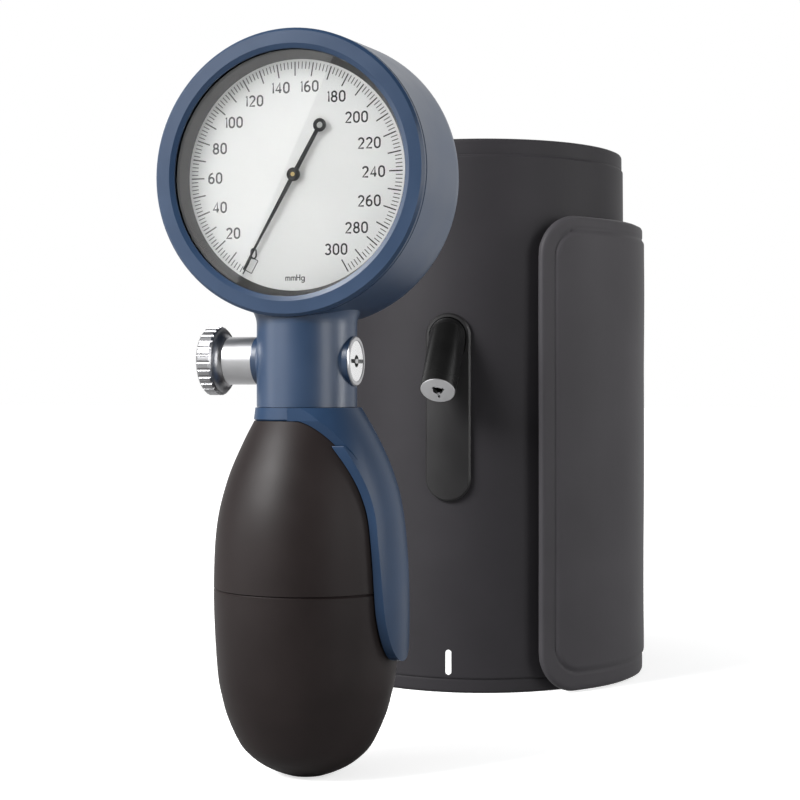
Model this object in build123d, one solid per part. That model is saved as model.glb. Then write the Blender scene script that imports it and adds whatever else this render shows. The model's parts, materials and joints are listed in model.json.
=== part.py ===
from build123d import *
import os
from math import acos, cos, degrees, hypot, pi, radians, sin, sqrt, tan

# A palm-held aneroid blood pressure gauge, and the arm cuff that stands behind it.
# Millimetres, +Z up, the dial faces -Y, the release valve points to -X.
# The origin is the centre of the bulb's foot.

# Gauge head, turned about a horizontal axis along Y
head_foot_z = 94.7
head_front_y = -11.8
head_wide_y = 7.8
head_front_r = 29.6
head_taper = 1.1
head_back_round = 3.8
head_wall = 4.1
head_back_wall = 1.8

# Bezel, lens and dial, stacked back from the front plane
bezel_flange = 1.6
bezel_edge = 0.6
bezel_seat_gap = 0.1
bezel_inset = 1.0
bezel_thread_gap = 0.05
bezel_skirt_wall = 1.0
bezel_skirt_gap = 0.1
bezel_face_width = 4.2
bezel_lip = 0.8
bezel_lip_slope = 1.0
bezel_lip_land = 0.3
lens_fit_gap = 0.2
lens_thickness = 1.0
gasket_thickness = 0.3
gasket_inset = 0.1
dial_window_inset = 1.4
spacer_thickness = 3.2
dial_thickness = 0.5
dial_edge_gap = 0.2
dial_hole_gap = 0.5

# Pointer
pointer_short_of_window = 1.5
pointer_tail = 11.5
pointer_thickness = 0.2
pointer_root_width = 0.95
pointer_tip_width = 0.35
pointer_tail_width = 0.8
pointer_zero_deg = 30.0
pointer_sweep_deg = 300.0
tail_ring_r = 1.4
tail_ring_hole_r = 0.65
hub_r = 1.4
hub_height = 1.1
hub_edge = 0.15
hub_flange = 0.45
hub_bush_r = 0.8
hub_over_dial = 0.3

# Movement: two plates, a sector wheel, a pinion, and a rocking shaft driven by the capsule
gear_module = 0.2
tooth_tip = 0.9
tooth_root = 1.2
tooth_root_step = 0.02
pinion_teeth = 12
sector_full_teeth = 150
sector_teeth_cut = 15
sector_teeth_ahead = 2
gear_backlash = 0.03
pressure_angle = 20.0
pinion_width = 1.2
sector_width = 0.6
sector_hub_r = 2.4
sector_window = [(0.43, -7), (0.83, -11), (0.83, 11), (0.43, 7)]
sector_pivot_dz = -6.5
arbor_r = 0.45
pivot_r = 0.3
pivot_gap = 0.05
pivot_short = 0.2
arbor_shake = 0.1
plate_thickness = 0.8
base_plate_thickness = 1.0
plates_apart = 4.9
front_plate_gap = 0.7
plate_corner_r = 3.0
gears_place = 0.27
spring_place = 0.75
pillar_r = 1.6
pillar_places = [(-0.555, 0.370), (0.370, -0.741), (1.049, 0.247)]
pillar_screw_r = 0.6
pillar_screw_length = 2.8
screw_head_height = 0.8
screw_head_width = 1.9
screw_slot_width = 0.5
post_inset = 4.1
post_angles = (90, 210, 330)
post_r = 2.6
post_screw_r = 0.9
post_screw_length = 5.5
post_hole_depth = 6.0
rocker_dz = -6.0
rocker_shaft_r = 0.6
rocker_behind_plate = 2.0
rocker_arm = 0.6
lift_arm_width = 2.4
lift_arm_over = 0.6
drive_arm_length = 5.0
drive_arm_width = 0.8
drive_end = 1.0
drive_pin_r = 0.3
drive_pin_overlap = 1.6
drive_gap = 0.15
drive_slot_width = 1.6
drive_slot_height = 3.4
drive_slot_drop = 0.3
ear_thickness = 0.8
ear_height = 3.0
ear_over_shaft = 0.9
ear_step = 1.6
drive_ear_step = 3.0
shaft_end = 0.4
hairspring_inner_r = 1.0
hairspring_outer_r = 4.2
hairspring_turns = 5
hairspring_strip = 0.1
hairspring_height = 0.5
stud_r = 0.45
stud_over = 0.2

# Capsule
capsule_post_gap = 1.9
capsule_behind_rocker = 2.8
capsule_depth = 2.4
capsule_back_gap = 2.2
capsule_flat_r = 4.0
capsule_rim = 1.0
capsule_room_inset = 1.8
capsule_skin = 0.25
capsule_waves = 3
capsule_wave = 0.35
capsule_stroke = 1.6
capsule_stem_r = 2.5
capsule_stem_short = 0.2
capsule_seat_r = 4.5
capsule_seat_gap = 0.15
boss_tip_r = 0.35
boss_tip_gap = 0.1
boss_cone = 0.9
boss_r = 1.2
boss_foot_r = 2.4
boss_foot = 0.4

# Air duct from the neck up to the capsule
duct_r = 0.8
duct_low_y = 3.0
duct_low_z = 89.0
duct_turn_rise = 10.0
duct_before_wall = 0.2
duct_pocket = 0.6
duct_rib_half_width = 2.4
duct_rib_skin = 1.6
duct_rib_rise = 2.3

# Neck and its spigot down into the bulb
neck_r = 10.6
neck_foot_z = 77.2
neck_flare_r = 5.0
neck_flat_y = 11.4
spigot_r = 7.5
spigot_foot_z = 64.0
chamber_r = 4.2
chamber_top_z = 93.0

# Bulb, profile as radius and height
bulb_profile = [(4.4, 0.0), (7.0, 1.0), (9.7, 2.4), (12.35, 4.5), (14.3, 7.0), (16.5, 11.8),
                (17.7, 15.8), (18.9, 22.5), (19.6, 38.9), (19.0, 52.0), (16.7, 62.0), (13.5, 69.6),
                (11.1, 74.3)]
bulb_wall = 2.4
bulb_room_low_z = 15.0
bulb_room_high_z = 65.0
bulb_room_floor = [(7.1, 9.0), (12.6, 10.9)]
bulb_over_spigot = 2.0
bulb_seam_z = 39.2
bulb_seam_depth = 0.3
bulb_seam_width = 0.5

# Grip lever, one piece with its swivel collar; profile as radius and height, outline as half width and height
collar_gap = 0.1
collar_proud = 0.6
collar_edge = 0.3
lever_gap = 0.35
lever_profile = [(21.4, 18.0), (21.7, 33.0), (21.1, 49.1), (19.5, 59.6), (15.4, 70.2)]
lever_top_proud = 0.9
lever_tip_z = 24.7
lever_root_lean = 0.3
lever_outline_points = [(4.6, 26.6), (7.0, 30.6), (8.3, 35.5), (8.8, 41.0), (9.1, 50.0), (9.5, 62.0),
                        (10.0, 69.0), (11.2, 74.4)]

# Valve and port, both on the neck's sides
boss_flare_r = 1.6
boss_flare_bend = 0.3
valve_z = 87.0
valve_boss_r = 5.2
valve_boss_x = 10.9
valve_barrel_r = 5.1
valve_barrel_end_x = 17.5
valve_spigot_r = 3.9
valve_spigot_x = 6.2
valve_bore_r = 2.0
valve_port_r = 1.0
valve_seat_thickness = 1.2
valve_seat_hole_r = 0.6
valve_seat_mouth_r = 1.0
valve_stem_end_x = 8.6
knob_r = 7.35
knob_near_x = 19.1
knob_far_x = 22.5
knob_gap = 0.1
knob_waist = 0.55
knob_waist_length = 0.9
knob_shoulder = 0.5
knob_edge = 0.5
knob_splines = 29
knob_groove_r = 0.42
knob_groove_out = 0.12
knob_stem_gap = 0.05
needle_r = 0.9
needle_cone = 1.4
needle_bite = 0.3
needle_tail_x = 15.6
washer_thickness = 0.9
washer_gap = 0.1
port_z = 86.8
port_boss_r = 5.3
port_boss_x = 10.8
port_ring_r = 5.2
port_ring_x = 11.2
port_ring_wall = 0.9
port_ring_skirt_wall = 0.4
port_ring_skirt = 1.2
port_ring_edge = 0.2
port_face_x = 11.1
port_face_gap = 0.05
port_insert_r = 3.2
port_insert_x = 6.5
port_back_r = 1.6
port_hole_r = 1.3
port_hole_depth = 2.0
port_slot = 0.83
port_slot_depth = 0.6
port_stem_r = 0.5
port_stem_flange = 0.8
port_stem_short = 0.1
port_vent_r = 0.35
port_vent_degs = (0, 120, 240)
port_vent_at = 1.05

# Check valves at the bulb's two ends
check_disc_r = 2.8
check_disc_thickness = 0.8
check_hole_r = 1.4
check_gap = 0.05
inlet_mouth_r = 3.3
inlet_lip_z = 2.2
inlet_r = 5.5
inlet_recess = 0.8
inlet_top_z = 11.0
inlet_slope = 1.5
filter_r = 2.5
filter_thickness = 0.5
filter_hole_r = 0.45
filter_hole_at = 1.6
filter_holes = 6
outlet_seat_top_z = 72.0

# Cuff, rolled about a vertical axis behind the handset
cuff_y = 137.0
cuff_r = 41.6
cuff_height = 147.5
cuff_cover = 2.0
cuff_lining = 1.0
cuff_border = 4.0
cuff_border_drop = 0.4
cuff_border_end_deg = 0.5
cuff_inner_end_deg = 165.0
cuff_step_from_deg = -115.0
cuff_step_to_deg = -195.0
cuff_lining_lift = 0.4
cuff_trim_from_deg = -135.0
cuff_trim_to_x = -8.0
cuff_trim_clear = 0.8
flap_root_deg = 120.0
flap_end_deg = 35.7
flap_top_z = 127.0
flap_foot_z = 0.4
flap_corner_r = 11.0
flap_panel_rise = 0.5
flap_panel_corner_r = 7.5
flap_border_end = 4.4
flap_border_top = 3.8
flap_border_foot = 5.3
flap_root_gap_deg = 0.15
patch_thickness = 1.4
patch_gap = 0.4
patch_from_deg = 45.0
patch_to_deg = 112.0
patch_margin = 9.0
bladder_half_deg = 100.0
bladder_foot_z = 12.0
bladder_top_z = 135.0
bladder_thickness = 1.1
bladder_gap = 0.05
bladder_edge_gap = 0.5

# Port plate and elbow on the cuff
connector_deg = 4.4
plate_width = 12.2
plate_foot_z = 51.1
plate_top_z = 101.1
plate_rise = 1.4
plate_edge_break = 0.45
plate_gap = 0.2
plate_swing_deg = 20.0
elbow_root_r = 4.9
elbow_r = 4.7
elbow_end = 6.0
elbow_bore_r = 3.3
elbow_root_off = 0.6
elbow_root_z = 95.0
elbow_drop_deg = 48.6
elbow_length = 19.3
connector_r = 4.5
connector_thickness = 1.35
connector_proud = 0.15
connector_hole_r = 1.3
connector_notch = 0.9
connector_notch_reach = 1.75
connector_notch_degs = (20, 130)
connector_slot = 0.6
connector_slot_reach = 2.7
connector_slot_depth = 0.5
seal_thickness = 1.0
seal_wall = 1.2
cuff_air_hole_r = 1.5

# Places worked out from the sizes above
head_wide_r = head_front_r + head_taper
head_z = head_foot_z + head_wide_r
case_cavity_r = head_wide_r - head_wall
case_front_y = head_front_y + bezel_flange
case_front_r = head_front_r + head_taper * bezel_flange / (head_wide_y - head_front_y)
bezel_r = head_front_r - bezel_inset
lens_opening_r = head_front_r - bezel_face_width
lens_r = bezel_r - bezel_thread_gap - bezel_skirt_wall - lens_fit_gap
lens_front_y = head_front_y + bezel_lip + gasket_thickness
lens_back_y = lens_front_y + lens_thickness
dial_window_r = lens_opening_r - dial_window_inset
dial_front_y = lens_back_y + spacer_thickness
dial_back_y = dial_front_y + dial_thickness
pointer_length = dial_window_r - pointer_short_of_window
hub_front_y = dial_front_y - hub_over_dial - hub_height
front_plate_y = dial_back_y + front_plate_gap
front_plate_back_y = front_plate_y + plate_thickness
base_plate_y = front_plate_back_y + plates_apart
base_plate_back_y = base_plate_y + base_plate_thickness
gears_y = front_plate_back_y + gears_place * plates_apart
spring_y = front_plate_back_y + spring_place * plates_apart
pinion_r = gear_module * pinion_teeth / 2
sector_r = gear_module * sector_full_teeth / 2
gear_centres = pinion_r + sector_r
sector_pivot = (sqrt(gear_centres**2 - sector_pivot_dz**2), sector_pivot_dz)
mesh_deg = 180 - degrees(acos(sector_pivot[0] / gear_centres))
sector_turn = pointer_sweep_deg * pinion_teeth / sector_full_teeth
rocker_turn = capsule_stroke / -rocker_dz
drive_pin_reach = drive_arm_length * sin(rocker_turn) / sin(radians(sector_turn))
drive_x = sector_pivot[0] - drive_pin_reach
rocker_y = base_plate_back_y + rocker_behind_plate
drive_tip_y = rocker_y - drive_arm_length
left_ear_x = -lift_arm_width / 2 - ear_step
capsule_front_y = rocker_y + capsule_behind_rocker
capsule_back_y = capsule_front_y + capsule_depth
cavity_back_y = capsule_back_y + capsule_back_gap
head_back_y = cavity_back_y + head_back_wall
post_circle_r = case_cavity_r - post_inset
capsule_r = post_circle_r - post_r - capsule_post_gap
duct_y = cavity_back_y - duct_before_wall
duct_turn_z = head_foot_z + duct_turn_rise
bulb_top_z = bulb_profile[-1][1]
port_inner_r = port_ring_r - port_ring_wall
port_seat_x = port_boss_x - port_ring_skirt
port_flange_x = port_insert_x - port_stem_flange
cuff_wall = cuff_cover + cuff_lining
flap_outer_r = cuff_r + cuff_wall + 2 * patch_thickness + patch_gap
overlap_shift = flap_outer_r - cuff_r


def upright(outline):
    """Turn an outline of (radius, height) points about the Z axis."""
    face = make_face(Polyline(*[(r, 0, z) for r, z in outline], close=True))
    return revolve(face, Axis.Z)


def about_dial(outline):
    """Turn an outline of (radius, y) points about the dial's axis."""
    return Pos(0, 0, head_z) * Rot(-90, 0, 0) * upright(outline)


def sideways(outline, z, side):
    """Turn an outline of (radius, reach) points about an X axis, out to side +1 or -1."""
    return Pos(0, 0, z) * Rot(0, 90 * side, 0) * upright(outline)


def rod(radius, y_from, y_to, spot=(0, 0)):
    """A round rod along Y, at a spot given as (x, z) from the dial's centre."""
    turned = Rot(-90, 0, 0) * Pos(0, 0, (y_from + y_to) / 2) * Cylinder(radius, y_to - y_from)
    return Pos(spot[0], 0, head_z + spot[1]) * turned


def dial_plane(y):
    """The plane at this y whose own x and y are the dial's right and up, seen from the front."""
    return Plane(origin=(0, y, head_z), x_dir=(1, 0, 0), z_dir=(0, -1, 0))


def plate_shape(sketch, y_from, y_to):
    """A flat sketch drawn in the dial plane, given its thickness along Y."""
    return extrude(dial_plane(y_to) * sketch, y_to - y_from)


def hull_of(spots, radius):
    """The outline of a plate that wraps round corner discs at the given spots."""
    discs = Sketch() + [Pos(x, z) * Circle(radius) for x, z in spots]
    return make_hull(discs.edges())


def post_spots():
    """Centres of the case's three posts, as (x, z) from the dial's centre."""
    return [(post_circle_r * cos(radians(a)), post_circle_r * sin(radians(a))) for a in post_angles]


def pillar_spots():
    """Centres of the movement's three pillars, placed by the gears' size."""
    return [(x * gear_centres, z * gear_centres) for x, z in pillar_places]


# Gauge case: head, neck, bosses and spigot are one moulding
def case_outside():
    """The head's rounded drum on its flared neck, with the two side bosses."""
    drum = about_dial([(0, case_front_y), (case_front_r, case_front_y), (head_wide_r, head_wide_y),
                       (head_wide_r, head_back_y), (0, head_back_y)])
    back_edge = drum.edges().filter_by(GeomType.CIRCLE).sort_by(Axis.Y)[-1]
    drum = fillet(back_edge, head_back_round)
    port = side_boss(port_z, 1, port_boss_r, port_boss_x)
    valve = side_boss(valve_z, -1, valve_boss_r, valve_boss_x)
    return drum + neck_outside() + port + valve


def neck_outside():
    """The neck, round and vertical, with a hollow flare up into the drum."""
    flare_x = neck_r + neck_flare_r
    flare_z = head_z - sqrt((head_front_r + neck_flare_r)**2 - flare_x**2)
    reach = head_front_r / (head_front_r + neck_flare_r)
    touch = (flare_x * reach, head_z + (flare_z - head_z) * reach)
    middle = ((neck_r + touch[0]) / 2 - flare_x, (flare_z + touch[1]) / 2 - flare_z)
    scale = neck_flare_r / hypot(*middle)
    bend = (flare_x + middle[0] * scale, flare_z + middle[1] * scale)
    top_z = head_z - case_cavity_r / 2
    wall = Polyline((0, 0, neck_foot_z), (neck_r, 0, neck_foot_z), (neck_r, 0, flare_z))
    curve = ThreePointArc((neck_r, 0, flare_z), (bend[0], 0, bend[1]), (touch[0], 0, touch[1]))
    top = Polyline((touch[0], 0, touch[1]), (touch[0], 0, top_z), (0, 0, top_z), (0, 0, neck_foot_z))
    neck = revolve(make_face(wall + curve + top), Axis.Z)
    return neck & Pos(0, 0, head_z / 2) * Box(4 * neck_r, 2 * neck_flat_y, head_z)


def side_boss(z, side, radius, reach):
    """A round boss that stands out of the neck on one side, flared where it leaves it."""
    foot_r = radius + boss_flare_r
    root = sqrt(neck_r**2 - foot_r**2)
    bend = boss_flare_r * boss_flare_bend
    return sideways([(0, 0), (foot_r, 0), (foot_r, root), (radius + bend, root + bend),
                     (radius, root + boss_flare_r), (radius, reach), (0, reach)], z, side)


def duct_rib():
    """The rib inside the case that carries the air duct up to the capsule's seat."""
    back = head_back_y - head_back_wall / 2
    low_z = head_foot_z + duct_rib_rise
    slope = (duct_y - duct_low_y) / (duct_turn_z - duct_low_z)
    low_y = duct_low_y + slope * (low_z - duct_low_z) - duct_rib_skin
    front = capsule_back_y + capsule_seat_gap
    turn_y = min(duct_y - duct_rib_skin, front)
    outline = Polyline((0, back, low_z), (0, low_y, low_z), (0, turn_y, duct_turn_z),
                       (0, front, duct_turn_z + duct_rib_skin), (0, front, head_z), (0, back, head_z),
                       close=True)
    return extrude(make_face(outline), duct_rib_half_width, both=True, dir=(1, 0, 0))


def gauge_case():
    front = head_front_y - 1
    seat_r = head_front_r + bezel_seat_gap
    drum_hollow = about_dial([(0, front), (seat_r, front), (seat_r, case_front_y), (bezel_r, case_front_y),
                              (bezel_r, dial_back_y), (case_cavity_r, dial_back_y),
                              (case_cavity_r, cavity_back_y), (0, cavity_back_y)])
    case = case_outside() - drum_hollow
    case += upright([(0, spigot_foot_z), (spigot_r, spigot_foot_z), (spigot_r, neck_foot_z),
                     (0, neck_foot_z)])
    root_y = head_back_y - head_back_wall / 2
    for spot in post_spots():
        case += rod(post_r, base_plate_back_y, root_y, spot)
    case += duct_rib() + rod(capsule_seat_r, capsule_back_y + capsule_seat_gap, root_y)
    for spot in post_spots():
        case -= rod(post_screw_r, base_plate_back_y - 1, base_plate_back_y + post_hole_depth, spot)
    case -= rod(capsule_stem_r, 0, cavity_back_y + duct_pocket)
    return case - air_ways() - side_bores()


def air_ways():
    """The chamber in the neck and the duct from it up to the capsule's seat."""
    chamber = upright([(0, spigot_foot_z - 1), (chamber_r, spigot_foot_z - 1), (chamber_r, chamber_top_z),
                       (0, chamber_top_z)])
    low = Vector(0, duct_low_y, duct_low_z)
    turn = Vector(0, duct_y, duct_turn_z)
    duct = Solid.make_cylinder(duct_r, (turn - low).length, Plane(low, z_dir=turn - low))
    rise = Solid.make_cylinder(duct_r, head_z - turn.Z, Plane(turn, z_dir=(0, 0, 1)))
    return chamber + duct + rise


def side_bores():
    """The stepped holes in the two bosses for the port's parts and the valve's barrel."""
    start = chamber_r - 1
    mouth = port_boss_x + 1
    skirt_r = port_inner_r + port_ring_skirt_wall
    port = sideways([(0, start), (port_back_r, start), (port_back_r, port_flange_x),
                     (port_insert_r, port_flange_x), (port_insert_r, port_seat_x),
                     (skirt_r, port_seat_x), (skirt_r, mouth), (0, mouth)], port_z, 1)
    seat_x = valve_spigot_x - valve_seat_thickness
    valve = sideways([(0, start), (valve_port_r, start), (valve_port_r, seat_x), (valve_spigot_r, seat_x),
                      (valve_spigot_r, valve_boss_x + 1), (0, valve_boss_x + 1)], valve_z, -1)
    return port + valve


# Front of the head
def bezel_ring():
    """The front ring: a flange over the case's edge, a lip over the lens, and a skirt inside the case."""
    outer = bezel_r - bezel_thread_gap
    inner = outer - bezel_skirt_wall
    lip_y = head_front_y + bezel_lip
    skirt_y = dial_back_y - bezel_skirt_gap
    return about_dial([(lens_opening_r + bezel_lip_slope, head_front_y),
                       (head_front_r - bezel_edge, head_front_y),
                       (head_front_r, head_front_y + bezel_edge), (head_front_r, case_front_y),
                       (outer, case_front_y), (outer, skirt_y), (inner, skirt_y), (inner, lip_y),
                       (lens_opening_r, lip_y), (lens_opening_r, lip_y - bezel_lip_land)])


def ring_about_dial(inner, outer, y_from, y_to):
    """A plain ring about the dial's axis."""
    return about_dial([(inner, y_from), (outer, y_from), (outer, y_to), (inner, y_to)])


def lens_gasket():
    inner = lens_opening_r + gasket_inset
    return ring_about_dial(inner, lens_r, lens_front_y - gasket_thickness, lens_front_y)


def lens():
    return rod(lens_r, lens_front_y, lens_back_y)


def dial_spacer():
    return about_dial([(lens_opening_r, lens_back_y), (lens_r, lens_back_y), (lens_r, dial_front_y),
                       (dial_window_r, dial_front_y)])


def dial_plate():
    return ring_about_dial(arbor_r + dial_hole_gap, lens_r - dial_edge_gap, dial_front_y, dial_back_y)


# Gear teeth, as involutes of the base circle
def tooth_flank(teeth, steps=3):
    """Points (radius, half angle in radians) from a tooth's root to its tip, on one flank."""
    pitch = gear_module * teeth / 2
    base = pitch * cos(radians(pressure_angle))
    tip = pitch + tooth_tip * gear_module
    root = pitch - tooth_root * gear_module
    lean = tan(radians(pressure_angle)) - radians(pressure_angle)
    half = pi / (2 * teeth) - gear_backlash / (2 * pitch)
    points = []
    low = max(base, root + tooth_root_step)
    for i in range(steps):
        radius = low + (tip - low) * i / (steps - 1)
        roll = acos(base / radius)
        points.append((radius, half + lean - (tan(roll) - roll)))
    return [(root, points[0][1])] + points


def toothed_rim(teeth, middle_degs):
    """Points of a run of teeth, as (x, z) about the wheel's centre, for each tooth's middle angle."""
    flank = tooth_flank(teeth)
    rim = []
    for middle in middle_degs:
        for radius, half in flank:
            rim.append((radius, radians(middle) - half))
        for radius, half in reversed(flank):
            rim.append((radius, radians(middle) + half))
    return [(radius * cos(a), radius * sin(a)) for radius, a in rim]


def pinion_arbor():
    """The centre arbor with its pinion and the collet of the hairspring, all turned from one bar."""
    pitch_deg = 360 / pinion_teeth
    mesh_at = mesh_deg + 180
    middles = [mesh_at + (k + 0.5) * pitch_deg for k in range(pinion_teeth)]
    wheel = make_face(Polyline(*toothed_rim(pinion_teeth, middles), close=True))
    pinion = plate_shape(wheel, gears_y - pinion_width / 2, gears_y + pinion_width / 2)
    shoulder_y = base_plate_y - pivot_short
    arbor = rod(arbor_r, hub_front_y, shoulder_y) + pinion
    arbor += rod(hairspring_inner_r, spring_y - hairspring_height / 2, spring_y + hairspring_height / 2)
    return arbor + rod(pivot_r, shoulder_y, base_plate_back_y - pivot_short)


def pointer_hub():
    """A flanged bush pressed on the arbor, in front of the pointer."""
    y = hub_front_y
    return about_dial([(arbor_r, y), (hub_r - hub_edge, y), (hub_r, y + hub_edge), (hub_r, y + hub_flange),
                       (hub_bush_r, y + hub_flange), (hub_bush_r, y + hub_height), (arbor_r, y + hub_height)])


def pointer():
    """A long taper to the scale and a short tail with an open ring, in one stamped blade."""
    root = pointer_root_width / 2
    tip = pointer_tip_width / 2
    tail = pointer_tail_width / 2
    blade = make_face(Polyline((-root, 0), (-tip, -pointer_length), (tip, -pointer_length), (root, 0),
                               (tail, pointer_tail), (-tail, pointer_tail), close=True))
    ring = Pos(0, pointer_tail)
    shape = blade + ring * Circle(tail_ring_r) - ring * Circle(tail_ring_hole_r)
    shape = Rot(0, 0, -pointer_zero_deg) * (shape + Circle(hub_r) - Circle(hub_bush_r))
    y = hub_front_y + hub_flange
    return plate_shape(shape, y, y + pointer_thickness)


def sector_gear():
    """A toothed arc on a tapered blade, with its arbor and the drive pin that the rocking shaft pushes."""
    pitch_deg = 360 / sector_full_teeth
    middles = [mesh_deg + (sector_teeth_ahead - k) * pitch_deg for k in range(sector_teeth_cut)]
    middles.sort()
    rim = toothed_rim(sector_full_teeth, middles)
    sides = [radians(a) for a in (middles[-1] + 90, middles[0] - 90)]
    hub_points = [(sector_hub_r * cos(a), sector_hub_r * sin(a)) for a in sides]
    blade = make_face(Polyline(*rim, *hub_points, close=True)) + Circle(sector_hub_r)
    middle = (middles[0] + middles[-1]) / 2
    window = [(r * sector_r * cos(radians(middle + a)), r * sector_r * sin(radians(middle + a)))
              for r, a in sector_window]
    blade -= make_face(Polyline(*window, close=True))
    wheel = plate_shape(Pos(*sector_pivot) * blade, gears_y - sector_width / 2, gears_y + sector_width / 2)
    arbor = rod(arbor_r, front_plate_back_y + arbor_shake, base_plate_y - arbor_shake, sector_pivot)
    pivots = rod(pivot_r, front_plate_y + pivot_short, base_plate_back_y - pivot_short, sector_pivot)
    pin = rod(drive_pin_r, gears_y, drive_tip_y + drive_pin_overlap, (drive_x, sector_pivot[1]))
    return wheel + arbor + pivots + pin


def rocking_shaft():
    """A cross shaft with two arms: the capsule lifts one, and the other swings the sector."""
    shaft_from = left_ear_x - ear_thickness / 2 - shaft_end
    shaft_to = drive_x + drive_end
    centre_z = head_z + rocker_dz
    shaft = Pos((shaft_from + shaft_to) / 2, rocker_y, centre_z) * Rot(0, 90, 0) \
        * Cylinder(rocker_shaft_r, shaft_to - shaft_from)
    lift_top = head_z + lift_arm_over
    lift = Pos(0, rocker_y, (centre_z + lift_top) / 2) * Box(lift_arm_width, rocker_arm, lift_top - centre_z)
    arm_z = centre_z + drive_pin_offset()
    drive = Box(drive_arm_width, drive_arm_length, rocker_arm)
    return shaft + lift + Pos(drive_x, rocker_y - drive_arm_length / 2, arm_z) * drive


def drive_pin_offset():
    """How far above the rocking shaft's axis its drive arm lies, to rest just over the sector's pin."""
    return sector_pivot_dz + drive_pin_r + drive_gap + rocker_arm / 2 - rocker_dz


def movement_front_plate():
    back = front_plate_back_y + 1
    plate = plate_shape(hull_of([(0, 0), sector_pivot] + pillar_spots(), plate_corner_r),
                        front_plate_y, front_plate_back_y)
    plate -= rod(arbor_r + pivot_gap, front_plate_y - 1, back)
    plate -= rod(pivot_r + pivot_gap, front_plate_y - 1, back, sector_pivot)
    for spot in pillar_spots():
        plate -= rod(pillar_screw_r, front_plate_y - 1, back, spot)
    return plate


def movement_base_plate():
    """The plate on the case's posts, with two ears behind it for the rocking shaft."""
    front = base_plate_y - 1
    back = base_plate_back_y + 1
    outline = hull_of(post_spots() + pillar_spots(), plate_corner_r)
    plate = plate_shape(outline, base_plate_y, base_plate_back_y)
    for spot in [(0, 0), sector_pivot]:
        plate -= rod(pivot_r + pivot_gap, front, back, spot)
    for spot in post_spots():
        plate -= rod(post_screw_r, front, back, spot)
    for spot in pillar_spots():
        plate -= rod(pillar_screw_r, front, back, spot)
    reach = rocker_behind_plate + ear_over_shaft
    for x in (left_ear_x, drive_x - drive_ear_step):
        ear = Box(ear_thickness, reach, ear_height)
        plate += Pos(x, base_plate_back_y + reach / 2, head_z + rocker_dz) * ear
    bore = Pos(0, rocker_y, head_z + rocker_dz) * Rot(0, 90, 0) \
        * Cylinder(rocker_shaft_r + pivot_gap, 2 * sector_pivot[0])
    slot = Box(drive_slot_width, 4 * base_plate_thickness, drive_slot_height)
    slot = Pos(drive_x, base_plate_y, head_z + rocker_dz - drive_slot_drop) * slot
    return plate - bore - slot + hairspring_stud()


def hairspring_stud():
    """The small post on the base plate that holds the hairspring's outer end."""
    spot = (0, hairspring_outer_r + hairspring_strip / 2 + stud_r)
    return rod(stud_r, spring_y - hairspring_height / 2 - stud_over, base_plate_y, spot)


def movement_pillars():
    spots = pillar_spots()
    pillars = [rod(pillar_r, front_plate_back_y, base_plate_y, spot) for spot in spots]
    holes = [rod(pillar_screw_r, front_plate_back_y - 1, base_plate_y + 1, spot) for spot in spots]
    return Compound(children=[pillar - hole for pillar, hole in zip(pillars, holes)])


def screw(shank_r, head_y, length, spot):
    """A cheese-head screw that points to +Y, its head's seat at head_y, sized by its shank."""
    head_h = shank_r * screw_head_height
    head_r = shank_r * screw_head_width
    body = rod(head_r, head_y - head_h, head_y, spot) + rod(shank_r, head_y, head_y + length, spot)
    slot = Box(3 * head_r, head_h, shank_r * screw_slot_width)
    return body - Pos(spot[0], head_y - head_h, head_z + spot[1]) * slot


def pillar_screws():
    return Compound(children=[screw(pillar_screw_r, front_plate_y, pillar_screw_length, spot)
                              for spot in pillar_spots()])


def post_screws():
    return Compound(children=[screw(post_screw_r, base_plate_y, post_screw_length, spot)
                              for spot in post_spots()])


def hairspring():
    """A flat spiral strip from the collet out to the stud."""
    steps = 8 * hairspring_turns

    def spiral(offset):
        points = []
        for i in range(steps + 1):
            turn = 2 * pi * hairspring_turns * i / steps
            gap = hairspring_outer_r - hairspring_inner_r - hairspring_strip
            radius = hairspring_inner_r + hairspring_strip / 2 + gap * i / steps + offset
            points.append((radius * sin(turn), radius * cos(turn)))
        return points

    outer = Spline(*spiral(hairspring_strip / 2))
    inner = Spline(*spiral(-hairspring_strip / 2))
    strip = make_face([outer, Line(outer @ 1, inner @ 1), inner, Line(inner @ 0, outer @ 0)])
    return plate_shape(strip, spring_y - hairspring_height / 2, spring_y + hairspring_height / 2)


# Capsule
def pressure_capsule():
    """Two corrugated discs joined at the rim, with the hollow stem that holds and feeds them."""
    rim_y = (capsule_front_y + capsule_back_y) / 2
    step = (capsule_r - capsule_rim - capsule_flat_r) / (2 * capsule_waves)
    front = [(0, capsule_front_y), (capsule_flat_r, capsule_front_y)]
    back = [(0, capsule_back_y), (capsule_flat_r, capsule_back_y)]
    for i in range(2 * capsule_waves):
        dip = capsule_wave if i % 2 == 0 else 0
        front.append((capsule_flat_r + step * (i + 1), capsule_front_y + dip))
        back.append((capsule_flat_r + step * (i + 1), capsule_back_y - dip))
    rim = [(capsule_r, rim_y - capsule_skin), (capsule_r, rim_y + capsule_skin)]
    skin = about_dial(front + rim + list(reversed(back)))
    room_front = capsule_front_y + capsule_wave + capsule_skin
    room_back = capsule_back_y - capsule_wave - capsule_skin
    room = rod(capsule_r - capsule_room_inset, room_front, room_back)
    stem = rod(capsule_stem_r, capsule_back_y, cavity_back_y - capsule_stem_short)
    return skin + stem - room - rod(duct_r, room_back - capsule_skin, cavity_back_y)


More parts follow.
